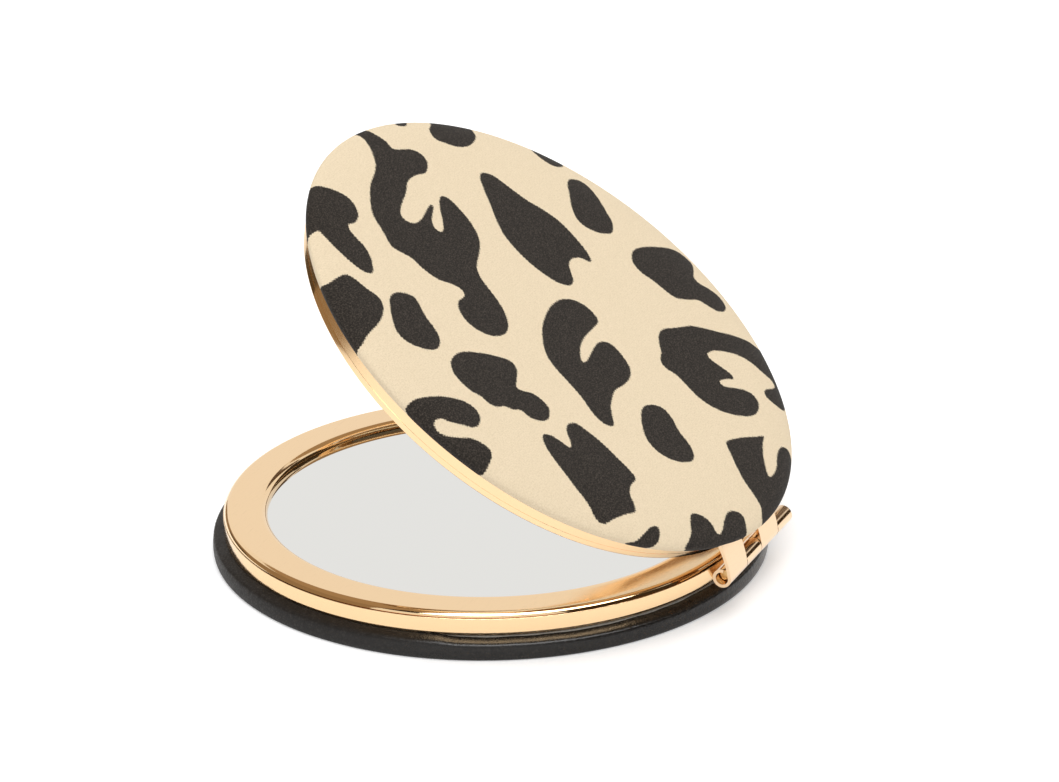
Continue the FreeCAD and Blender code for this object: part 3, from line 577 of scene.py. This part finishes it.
def leather_finish():
    """Black grained leather, polished by handling except on one side."""
    material, tree, shader = finish_material("Black leather")
    place = object_place(tree)
    grain = place_group(tree, "Cell grain", cell_grain_group, {"Place": place, "Cells": sizes().leather_grain})
    fold = put(tree, "TexNoise", {"Vector": place, "Scale": 700.0, "Detail": 3.0}).outputs[0]
    height = reckon(tree, "ADD", grain["Height"], reckon(tree, "MULTIPLY", fold, 0.6))
    base = tuple(colours().leather)
    light_share = reckon(tree, "MULTIPLY", grain["Shade"], grain["Height"])
    colour = blend_colours(tree, light_share, base, toned(base, 2.2))
    bump = put(tree, "Bump", {"Strength": 0.6, "Distance": 0.018 * MM, "Height": height}).outputs[0]
    side = put(tree, "VectorMath", {0: place, 1: LEATHER_POLISHED_SIDE}, operation="DOT_PRODUCT").outputs["Value"]
    matt = fade(tree, side, *LEATHER_POLISH, 0.34, 0.0)
    rough = reckon(tree, "ADD", fade(tree, grain["Height"], 0.0, 1.0, 0.28, 0.16), matt)
    feed(tree, shader, Base_Color=colour, Roughness=rough, Normal=bump, Specular_IOR_Level=0.32)
    return material


def foam_finish():
    """Fine-celled foam."""
    material, tree, shader = finish_material("Foam")
    grain = place_group(tree, "Cell grain", cell_grain_group, {"Place": object_place(tree), "Cells": 3500.0})
    pale = tuple(colours().foam)
    colour = blend_colours(tree, grain["Height"], toned(pale, 0.7), pale)
    bump = put(tree, "Bump", {"Strength": 0.8, "Distance": 0.05 * MM, "Height": grain["Height"]}).outputs[0]
    feed(tree, shader, Base_Color=colour, Roughness=fade(tree, grain["Shade"], 0.0, 1.0, 0.85, 1.0), Normal=bump)
    return material


def fibre_finish(name, colour, flecks, depth):
    """Pressed fibres, as in grey board or tape backing."""
    material, tree, shader = finish_material(name)
    laid = put(tree, "Mapping", {"Vector": object_place(tree), "Scale": (1.0, 3.0, 1.0)}).outputs[0]
    fibres = put(tree, "TexNoise", {"Vector": laid, "Scale": flecks, "Detail": 6.0}).outputs[0]
    tint = blend_colours(tree, fade(tree, fibres, 0.3, 0.65), toned(colour, 0.72), tuple(colour))
    bump = put(tree, "Bump", {"Strength": 0.6, "Distance": depth, "Height": fibres}).outputs[0]
    feed(tree, shader, Base_Color=tint, Roughness=fade(tree, fibres, 0.2, 0.8, 0.75, 0.95), Normal=bump)
    return material


# Meshes

def line(start, end, count):
    """Points from one place of a profile up to, but not at, the next."""
    share = np.linspace(0.0, 1.0, count, endpoint=False)[:, None]
    return np.array(start) * (1 - share) + np.array(end) * share


def arc(centre, radius, first, last, count):
    """Points of an arc between two angles in degrees, up to but not at its end."""
    angle = np.radians(np.linspace(first, last, count, endpoint=False))
    return np.column_stack((centre[0] + radius * np.cos(angle), centre[1] + radius * np.sin(angle)))


def smooth_piece(name, points, faces, half):
    """A smooth piece, brought from its half frame to the part's frame."""
    mesh = bpy.data.meshes.new(name)
    mesh.from_pydata(points.tolist(), [], faces)
    mesh.transform(half)
    mesh.shade_smooth()
    mesh.validate()
    mesh.update()
    piece = bpy.data.objects.new(name, mesh)
    bpy.context.scene.collection.objects.link(piece)
    return piece


def turned(name, profile, segments, half, shape=None):
    """A closed piece turned about the half's axis; the profile starts and ends on the axis.

    shape, if given, takes arrays of radius, height and angle for the rows between the two ends and changes them.
    """
    angle = np.linspace(0.0, 2 * math.pi, segments, endpoint=False)[None, :]
    rows = profile[1:-1]
    radius = np.repeat(rows[:, :1], segments, 1)
    height = np.repeat(rows[:, 1:], segments, 1)
    angle = np.repeat(angle, len(rows), 0)
    if shape:
        radius, height = shape(radius, height, angle)
    body = np.stack((radius * np.cos(angle), radius * np.sin(angle), height), -1).reshape(-1, 3)
    first = len(body)
    points = np.vstack((body, (0, 0, profile[0, 1]), (0, 0, profile[-1, 1])))
    faces = []
    for row in range(len(rows) - 1):
        for column in range(segments):
            here = row * segments + column
            beside = row * segments + (column + 1) % segments
            faces.append((here, here + segments, beside + segments, beside))
    last_row = (len(rows) - 1) * segments
    for column in range(segments):
        beside = (column + 1) % segments
        faces.append((first, column, beside))
        faces.append((first + 1, last_row + beside, last_row + column))
    return smooth_piece(name, points, faces, half)


def turned_ring(name, section, segments, half):
    """A closed ring turned about the half's axis; the section runs clockwise, with the radius to the right."""
    angle = np.linspace(0.0, 2 * math.pi, segments, endpoint=False)
    radius, height = section[:, :1], np.repeat(section[:, 1:], segments, 1)
    points = np.stack((radius * np.cos(angle), radius * np.sin(angle), height), -1).reshape(-1, 3)
    faces = []
    for row in range(len(section)):
        following = (row + 1) % len(section)
        for column in range(segments):
            beside = (column + 1) % segments
            faces.append((
                row * segments + column, following * segments + column,
                following * segments + beside, row * segments + beside,
            ))
    piece = smooth_piece(name, points, faces, half)
    piece.data.set_sharp_from_angle(angle=RING_SHARP)
    return piece


def ring_section(flat_end, shoulder, slope, edge_radius, edge_height):
    """Section of a gold ring: rounded lip, flat face, rounded shoulder and the skirt that sits in the pan."""
    skirt_in, skirt_out, skirt_end = RING_SKIRT
    lip_inside = RING_INNER + RING_SHEET
    lip_centre = (RING_INNER + RING_LIP, RING_LIP)
    return np.vstack((
        ((lip_inside, RING_DEPTH),),
        arc(lip_centre, RING_LIP - RING_SHEET, -180.0, -90.0, 10),
        line((lip_centre[0], RING_SHEET), (skirt_in, RING_SHEET), 4),
        line((skirt_in, RING_SHEET), (skirt_in, skirt_end), 2),
        ((skirt_in, skirt_end), (skirt_out, skirt_end), (skirt_out, edge_height), (edge_radius, edge_height)),
        arc((flat_end, shoulder), shoulder, slope, -90.0, 24),
        line((flat_end, 0.0), (lip_centre[0], 0.0), 6),
        arc(lip_centre, RING_LIP, -90.0, -180.0, 30),
        ((RING_INNER, RING_LIP), (RING_INNER, RING_DEPTH)),
    ))


def strap_surface(y):
    """Height of the hinge straps' outer side, with clearance, at a distance from the axis."""
    run = y - STRAP_START[0]
    return STRAP_START[1] - STRAP_SLOPE * run - STRAP_CURVE * run ** 2 + STRAP_CLEARANCE


def over_straps(x, y, straps):
    """1 where a strap passes under the cover's edge, 0 beside it, with soft ends."""
    share = np.zeros_like(x)
    for low, high in straps:
        inside = np.minimum(x - low, high - x) + STRAP_MARGIN
        share = np.maximum(share, np.clip(inside / STRAP_EASE, 0.0, 1.0))
    return np.where(y > 0, share * share * (3 - 2 * share), 0.0)


def lift_edge(height, lowest, pivot, raised):
    """The part of a cover between its lowest edge and a pivot height, squeezed so that the edge lies at raised."""
    squeezed = pivot - (pivot - height) * (pivot - raised) / (pivot - lowest)
    return np.where(height < pivot, squeezed, height)


def cloth_top(radius):
    """Height of the padded cloth's top."""
    share = np.clip(radius / CLOTH_RADIUS, 0.0, 1.0) ** sizes().cloth_flatness
    return CLOTH_EDGE + (CLOTH_CROWN - CLOTH_EDGE) * np.sqrt(1.0 - share)


def cloth_profile():
    """Section of the cloth skin: over the top, round the edge, under to the metal and back inside."""
    top_radius = CLOTH_RADIUS * np.sin(np.linspace(0.0, math.pi / 2, 120))
    top = np.column_stack((top_radius, cloth_top(top_radius)))[:-1]
    under_centre = (CLOTH_RADIUS - CLOTH_UNDER_ROUND, CLOTH_EDGE)
    under = arc(under_centre, CLOTH_UNDER_ROUND, 0.0, -90.0, 10)
    foot = (under_centre[0], CLOTH_EDGE - CLOTH_UNDER_ROUND)
    bore_low = (COVER_BORE, foot[1])
    inside_edge = (COVER_BORE, cloth_top(np.array(COVER_BORE)) - CLOTH_THICKNESS)
    inside_radius = np.linspace(BOARD_RADIUS, 0.0, 60)
    inside = np.column_stack((inside_radius, cloth_top(inside_radius) - CLOTH_THICKNESS))
    return np.vstack((top, under, line(foot, bore_low, 4), line(bore_low, inside_edge, 6), inside))


def shape_cloth(radius, height, angle):
    """Raises the cloth's under edge over the hinge straps."""
    x, y = radius * np.cos(angle), radius * np.sin(angle)
    lowest = CLOTH_EDGE - CLOTH_UNDER_ROUND
    raised = np.maximum(lowest, strap_surface(y))
    lifted = lift_edge(height, lowest, CLOTH_EDGE, np.minimum(raised, CLOTH_EDGE - CLOTH_LEAST))
    share = over_straps(x, y, LID_STRAPS)
    return radius, height * (1 - share) + lifted * share


def smooth_outline(points):
    """Closed smooth curve through the points."""
    points = np.array(points)
    before, after, beyond = np.roll(points, 1, 0), np.roll(points, -1, 0), np.roll(points, -2, 0)
    runs = []
    for share in np.linspace(0.0, 1.0, OUTLINE_STEPS, endpoint=False):
        runs.append(0.5 * (
            2 * points + (after - before) * share
            + (2 * before - 5 * points + 4 * after - beyond) * share ** 2
            + (3 * points - before - 3 * after + beyond) * share ** 3
        ))
    return np.stack(runs, 1).reshape(-1, 2)


def outline_distance(places, outline):
    """Distance of each place to a closed outline, negative inside it."""
    ends = np.roll(outline, -1, 0)
    run = ends - outline
    away = places[:, None, :] - outline[None]
    share = np.clip((away * run).sum(-1) / (run * run).sum(-1), 0.0, 1.0)
    nearest = np.sqrt(((away - share[..., None] * run) ** 2).sum(-1).min(1))
    level = places[:, None, 1]
    crosses = (outline[None, :, 1] > level) != (ends[None, :, 1] > level)
    slope = run[:, 0] / np.where(run[:, 1] == 0, 1.0, run[:, 1])
    meets = outline[None, :, 0] + (level - outline[None, :, 1]) * slope
    inside = (crosses & (places[:, None, 0] < meets)).sum(1) % 2 == 1
    return np.where(inside, -nearest, nearest)


def print_distance(places):
    """Millimetres from each place on the cloth to the nearest edge of the print, negative inside a spot."""
    found = np.full(len(places), PRINT_REACH)
    for points in PRINT_SPOTS.values():
        outline = smooth_outline(points)
        low, high = outline.min(0) - PRINT_REACH, outline.max(0) + PRINT_REACH
        near = np.flatnonzero(((places > low) & (places < high)).all(1))
        for chunk in np.array_split(near, max(1, len(near) // 4000)):
            found[chunk] = np.minimum(found[chunk], outline_distance(places[chunk], outline))
    return found


def lay_print(piece, profile, segments):
    """Gives each point of the cloth its place on the flat cloth and its distance to the print."""
    reach = np.concatenate(((0.0,), np.cumsum(np.hypot(*np.diff(profile, axis=0).T))))[1:-1] / MM
    angle = np.linspace(0.0, 2 * math.pi, segments, endpoint=False)
    flat = np.stack((reach[:, None] * np.cos(angle), reach[:, None] * np.sin(angle)), -1).reshape(-1, 2)
    flat = np.vstack((flat, (0, 0), (reach[-1], 0)))
    laid = np.column_stack((flat, print_distance(flat)))
    attribute = piece.data.attributes.new("cloth_place", "FLOAT_VECTOR", "POINT")
    attribute.data.foreach_set("vector", laid.astype(np.float32).ravel())


def eased(points, rounds):
    """A row of points with its corners cut again and again into a smooth bend; both ends stay."""
    for _ in range(rounds):
        first, last = points[:-1], points[1:]
        cut = np.stack((0.75 * first + 0.25 * last, 0.25 * first + 0.75 * last), 1).reshape(-1, 2)
        points = np.vstack((points[:1], cut, points[-1:]))
    return points


def leather_profile():
    """Section of the leather skin: flat underside, one soft roll up to the metal, and the inside."""
    roll = eased(np.array(LEATHER_ROLL) * MM, rounds=3)
    return np.vstack((
        line((0.0, LEATHER_FOOT), roll[0], 40),
        roll,
        line(roll[-1], (COVER_BORE, LEATHER_TURN), 3)[1:],
        line((COVER_BORE, LEATHER_TURN), (COVER_BORE, LEATHER_INSIDE), 6),
        line((COVER_BORE, LEATHER_INSIDE), (0.0, LEATHER_INSIDE), 20),
        ((0.0, LEATHER_INSIDE),),
    ))


def shape_leather(radius, height, angle):
    """Wanders the leather's inner edge, puckers its roll and lets the hinge straps pass."""
    x, y = radius * np.cos(angle), radius * np.sin(angle)
    round_base = np.arctan2(y, -x)
    before_end = np.tanh((HIGH_EDGE_END - round_base) / HIGH_EDGE_END_EASE)
    after_start = np.tanh((round_base - HIGH_EDGE_START) / HIGH_EDGE_START_EASE)
    high_side = 0.5 * (before_end + after_start)
    wander = sum(share * np.sin(waves * angle + start) for share, waves, start in EDGE_WANDER)
    edge = LEATHER_EDGE - sizes().edge_wave * (2 * high_side - 1 + wander)
    strap = np.minimum(strap_surface(y), LEATHER_WIDEST - LEATHER_LEAST)
    share = over_straps(x, y, BASE_STRAPS)
    edge = edge * (1 - share) + np.maximum(edge, strap) * share
    height = lift_edge(height, LEATHER_EDGE, LEATHER_WIDEST, edge)
    outside, above = radius - COVER_BORE, LEATHER_FOOT - height
    side = np.clip(outside / PUCKER_REACH, 0.0, 1.0) * np.clip(above / PUCKER_HEIGHT, 0.0, 1.0)
    ripple = np.sin(PUCKERS * angle + 2 * np.sin(13 * angle)) * (0.5 + 0.5 * np.sin(29 * angle + 1.0))
    shift = np.clip(outside / LEATHER_SHIFT_REACH, 0.0, 1.0) * LEATHER_SHIFT
    off_centre = shift * np.cos(angle - LEATHER_SHIFT_SIDE)
    return radius + side * sizes().pucker * ripple + off_centre, height


def foam_profile(foot, top, edge_radius):
    """Section of a foam disc between its flat foot and the skin over it."""
    radius = np.linspace(0.0, edge_radius, 60)
    upper = np.column_stack((radius, top(radius)))
    return np.vstack((upper, line((edge_radius, foot), (0.0, foot), 20), ((0.0, foot),)))


def dress(piece, material, body, node):
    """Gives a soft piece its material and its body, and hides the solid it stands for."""
    piece.data.materials.append(material)
    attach(piece, body)
    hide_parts(node)


def repaint(material, *nodes):
    """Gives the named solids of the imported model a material."""
    for name in nodes:
        solid = frame["nodes"][name]
        solid.data.materials.clear()
        solid.data.materials.append(material)


# Operators

class COMPACT_MIRROR_OT_cloth_cover(bpy.types.Operator):
    """Makes the padded printed cloth on the lid"""

    bl_idname = "compact_mirror.cloth_cover"
    bl_label = "Cloth cover"

    def execute(self, context):
        profile = cloth_profile()
        segments = sizes().cloth_segments
        piece = turned("lid_cloth_cover", profile, segments, LID_HALF, shape_cloth)
        lay_print(piece, profile, segments)
        dress(piece, cloth_finish(), "lid", "lid_fabric_cover")
        return {"FINISHED"}


class COMPACT_MIRROR_OT_leather_cover(bpy.types.Operator):
    """Makes the rolled leather under the base"""

    bl_idname = "compact_mirror.leather_cover"
    bl_label = "Leather cover"

    def execute(self, context):
        piece = turned("base_leather_skin", leather_profile(), sizes().leather_segments, BASE_HALF, shape_leather)
        dress(piece, leather_finish(), "base", "base_leather_cover")
        return {"FINISHED"}


class COMPACT_MIRROR_OT_foam_layers(bpy.types.Operator):
    """Makes the thin foam under each cover"""

    bl_idname = "compact_mirror.foam_layers"
    bl_label = "Foam layers"

    def execute(self, context):
        foam = foam_finish()
        lid_profile = foam_profile(BOARD_TOP, lambda r: cloth_top(r) - CLOTH_THICKNESS - FOAM_FIT, LID_FOAM_RADIUS)
        lid_foam = turned("lid_foam_layer", lid_profile, sizes().foam_segments, LID_HALF)
        dress(lid_foam, foam, "lid", "lid_foam_pad")
        flat = LEATHER_INSIDE - FOAM_FIT
        base_profile = foam_profile(
            BOARD_TOP, lambda r: flat - BASE_FOAM_CROWN * (r / BOARD_RADIUS) ** 6, BOARD_RADIUS)
        base_foam = turned("base_foam_layer", base_profile, sizes().foam_segments, BASE_HALF)
        dress(base_foam, foam, "base", "base_foam_pad")
        return {"FINISHED"}


class COMPACT_MIRROR_OT_rings(bpy.types.Operator):
    """Makes the polished ring over each mirror"""

    bl_idname = "compact_mirror.rings"
    bl_label = "Rings"

    def execute(self, context):
        finish = polished_metal("Gold ring", colours().gold)
        for body, half, shoulder in (("base", BASE_HALF, BASE_SHOULDER), ("lid", LID_HALF, LID_SHOULDER)):
            ring = turned_ring(body + "_ring", ring_section(*shoulder), sizes().ring_segments, half)
            ring.data.materials.append(finish)
            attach(ring, body)
            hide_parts(body + "_bezel")
        return {"FINISHED"}


class COMPACT_MIRROR_OT_metalwork(bpy.types.Operator):
    """Finishes the gold pans and hinge, the pin, the rivets and the magnets"""

    bl_idname = "compact_mirror.metalwork"
    bl_label = "Metalwork"

    def execute(self, context):
        tones = colours()
        repaint(polished_metal("Gold sheet", tones.gold), "base_pan", "lid_pan")
        repaint(polished_metal("Hinge gold", tones.hinge), "base_hinge_leaf", "lid_hinge_leaf")
        repaint(polished_metal("Pin metal", tones.pin), "hinge_pin")
        repaint(polished_metal("Rivet metal", tones.pin), "base_leaf_rivets", "lid_leaf_rivets")
        repaint(polished_metal("Magnet", tones.magnet), "base_magnet", "lid_magnet")
        return {"FINISHED"}


class COMPACT_MIRROR_OT_mirrors(bpy.types.Operator):
    """Finishes the two mirrors"""

    bl_idname = "compact_mirror.mirrors"
    bl_label = "Mirrors"

    def execute(self, context):
        repaint(mirror_finish(), "base_mirror_glass", "lid_mirror_glass")
        return {"FINISHED"}


class COMPACT_MIRROR_OT_backing(bpy.types.Operator):
    """Finishes the hidden boards and tapes"""

    bl_idname = "compact_mirror.backing"
    bl_label = "Boards and tapes"

    def execute(self, context):
        repaint(fibre_finish("Grey board", colours().board, 1500.0, 0.03 * MM), "base_cover_board", "lid_cover_board")
        repaint(fibre_finish("Tape", colours().tape, 2500.0, 0.01 * MM), "base_mirror_tape", "lid_mirror_tape")
        return {"FINISHED"}


def stage_piece(name, points, faces, material):
    """A piece of the stage."""
    mesh = bpy.data.meshes.new(name)
    mesh.from_pydata(points, [], faces)
    mesh.materials.append(material)
    piece = bpy.data.objects.new(name, mesh)
    bpy.context.scene.collection.objects.link(piece)
    return piece


def seen_rays(tree):
    """1 for what the camera sees, straight or in metal and glass, and 0 for light."""
    path = put(tree, "LightPath").outputs
    seen = reckon(tree, "MAXIMUM", path["Is Camera Ray"], path["Is Glossy Ray"])
    return reckon(tree, "MAXIMUM", seen, path["Is Transmission Ray"])


def plain_finish(name, colour, glow):
    """Matt finish of the stage, with a glow that only lifts how it is seen."""
    material, tree, shader = finish_material(name)
    feed(tree, shader, Base_Color=tuple(colour), Roughness=1.0, Specular_IOR_Level=0.0,
         Emission_Color=(1.0, 1.0, 1.0, 1.0), Emission_Strength=fade(tree, seen_rays(tree), 0.0, 1.0, 0.0, glow))
    return material


def card_finish(name, colour):
    """Painted reflection: glow of a card that only reflections see; the first reflection in a sharp mirror sees past
    it.
    """
    material, tree = empty_material(name)
    path = put(tree, "LightPath").outputs
    first_bounce = reckon(tree, "LESS_THAN", path["Ray Depth"], 1.5)
    past = reckon(tree, "MULTIPLY", path["Is Singular Ray"], first_bounce)
    glow = put(tree, "Emission", {"Color": (*colour, 1.0), "Strength": seen_rays(tree)}).outputs[0]
    clear = put(tree, "BsdfTransparent").outputs[0]
    shown = put(tree, "MixShader", {0: past, 1: glow, 2: clear}).outputs[0]
    put(tree, "OutputMaterial", {"Surface": shown})
    return material


def reflected_card(name, radius, colour, edges):
    """A part of a dome round the object that only polished surfaces see: a painted reflection, which lights nothing
    and casts no shadow.
    """
    turns, lows, highs = np.array(edges).T
    turn = np.linspace(turns[0], turns[-1], CARD_COLUMNS + 1)
    share = np.linspace(0.0, 1.0, CARD_ROWS + 1)
    low, high = (np.interp(turn, turns, rises)[:, None] for rises in (lows, highs))
    rise = np.radians(low * (1 - share) + high * share)
    angle = np.radians(CAMERA_FRONT + turn)[:, None]
    flat = np.cos(rise)
    points = radius * np.stack((flat * np.cos(angle), flat * np.sin(angle), np.sin(rise)), -1).reshape(-1, 3)
    faces = []
    for column in range(CARD_COLUMNS):
        for row in range(CARD_ROWS):
            here = column * (CARD_ROWS + 1) + row
            beside = here + CARD_ROWS + 1
            faces.append((here, beside, beside + 1, here + 1))
    card = stage_piece(name, points.tolist(), faces, card_finish(name, colour))
    card.visible_camera = False
    card.visible_diffuse = False
    card.visible_shadow = False


def soft_light():
    """A soft box of light above the object."""
    lamp = bpy.data.lights.new("Top light", "AREA")
    lamp.shape = "RECTANGLE"
    lamp.size = LAMP_SIZE
    lamp.size_y = LAMP_SIZE
    lamp.energy = LAMP_POWER
    box = bpy.data.objects.new("Top light", lamp)
    box.location = LAMP_PLACE
    box.rotation_euler = (LAMP_AIM - LAMP_PLACE).to_track_quat("-Z", "Y").to_euler()
    box.visible_glossy = False
    bpy.context.scene.collection.objects.link(box)


def studio_world():
    """Even pale surroundings: white to the camera and in reflections, dimmer as light."""
    world = bpy.data.worlds.new("Studio")
    world.use_nodes = True
    tree = world.node_tree
    tree.nodes.clear()
    strength = fade(tree, seen_rays(tree), 0.0, 1.0, AMBIENT, 1.0)
    sky = put(tree, "Background", {"Color": (1.0, 1.0, 1.0, 1.0), "Strength": strength})
    put(tree, "OutputWorld", {"Surface": sky.outputs[0]})
    bpy.context.scene.world = world


class COMPACT_MIRROR_OT_stage(bpy.types.Operator):
    """Makes the floor, the soft light and the camera"""

    bl_idname = "compact_mirror.stage"
    bl_label = "Stage"

    def execute(self, context):
        scene = context.scene
        scene.view_settings.view_transform = "Standard"
        corners = [(FLOOR_REACH * x, FLOOR_REACH * y, 0) for x, y in ((-1, -1), (1, -1), (1, 1), (-1, 1))]
        stage_piece("floor", corners, [(0, 1, 2, 3)], plain_finish("Floor", colours().floor, FLOOR_GLOW))
        for name, card in REFLECTED_ROOM.items():
            reflected_card(name, *card)
        soft_light()
        studio_world()

        looking = Vector((
            -math.sin(CAMERA_AZIMUTH) * math.cos(CAMERA_ELEVATION),
            math.cos(CAMERA_AZIMUTH) * math.cos(CAMERA_ELEVATION),
            -math.sin(CAMERA_ELEVATION),
        ))
        camera = bpy.data.cameras.new("Camera")
        camera.sensor_width = CAMERA_SENSOR
        camera.lens = CAMERA_LENS
        camera.clip_start = CAMERA_NEAR
        holder = bpy.data.objects.new("Camera", camera)
        turn = looking.to_track_quat("-Z", "Y").to_matrix().to_4x4() @ Matrix.Rotation(CAMERA_ROLL, 4, "Z")
        holder.matrix_world = Matrix.Translation(CAMERA_AIM - looking * CAMERA_DISTANCE) @ turn
        scene.collection.objects.link(holder)
        scene.camera = holder
        return {"FINISHED"}


OPERATORS = (
    COMPACT_MIRROR_OT_stage,
    COMPACT_MIRROR_OT_cloth_cover,
    COMPACT_MIRROR_OT_leather_cover,
    COMPACT_MIRROR_OT_foam_layers,
    COMPACT_MIRROR_OT_rings,
    COMPACT_MIRROR_OT_metalwork,
    COMPACT_MIRROR_OT_mirrors,
    COMPACT_MIRROR_OT_backing,
)


class COMPACT_MIRROR_PT_panel(bpy.types.Panel):
    """Lists what makes the compact mirror's looks"""

    bl_idname = "COMPACT_MIRROR_PT_panel"
    bl_label = "Compact mirror"
    bl_space_type = "VIEW_3D"
    bl_region_type = "UI"
    bl_category = "Compact mirror"

    def draw(self, context):
        for operator in OPERATORS:
            self.layout.operator(operator.bl_idname)
        for group in (context.scene.compact_mirror_sizes, context.scene.compact_mirror_colours):
            box = self.layout.box()
            for name in group.bl_rna.properties.keys():
                if name not in ("rna_type", "name"):
                    box.prop(group, name)


CLASSES = (CompactMirrorSizes, CompactMirrorColours, *OPERATORS, COMPACT_MIRROR_PT_panel)


def register():
    """Adds the classes and the scene's settings."""
    for made in CLASSES:
        bpy.utils.register_class(made)
    bpy.types.Scene.compact_mirror_sizes = PointerProperty(type=CompactMirrorSizes)
    bpy.types.Scene.compact_mirror_colours = PointerProperty(type=CompactMirrorColours)


def unregister():
    """Takes them away again."""
    del bpy.types.Scene.compact_mirror_colours
    del bpy.types.Scene.compact_mirror_sizes
    for made in reversed(CLASSES):
        bpy.utils.unregister_class(made)


def main():
    """Builds the stage and every piece."""
    register()
    bpy.ops.compact_mirror.stage()
    bpy.ops.compact_mirror.cloth_cover()
    bpy.ops.compact_mirror.leather_cover()
    bpy.ops.compact_mirror.foam_layers()
    bpy.ops.compact_mirror.rings()
    bpy.ops.compact_mirror.metalwork()
    bpy.ops.compact_mirror.mirrors()
    bpy.ops.compact_mirror.backing()


if __name__ == "__main__":
    main()
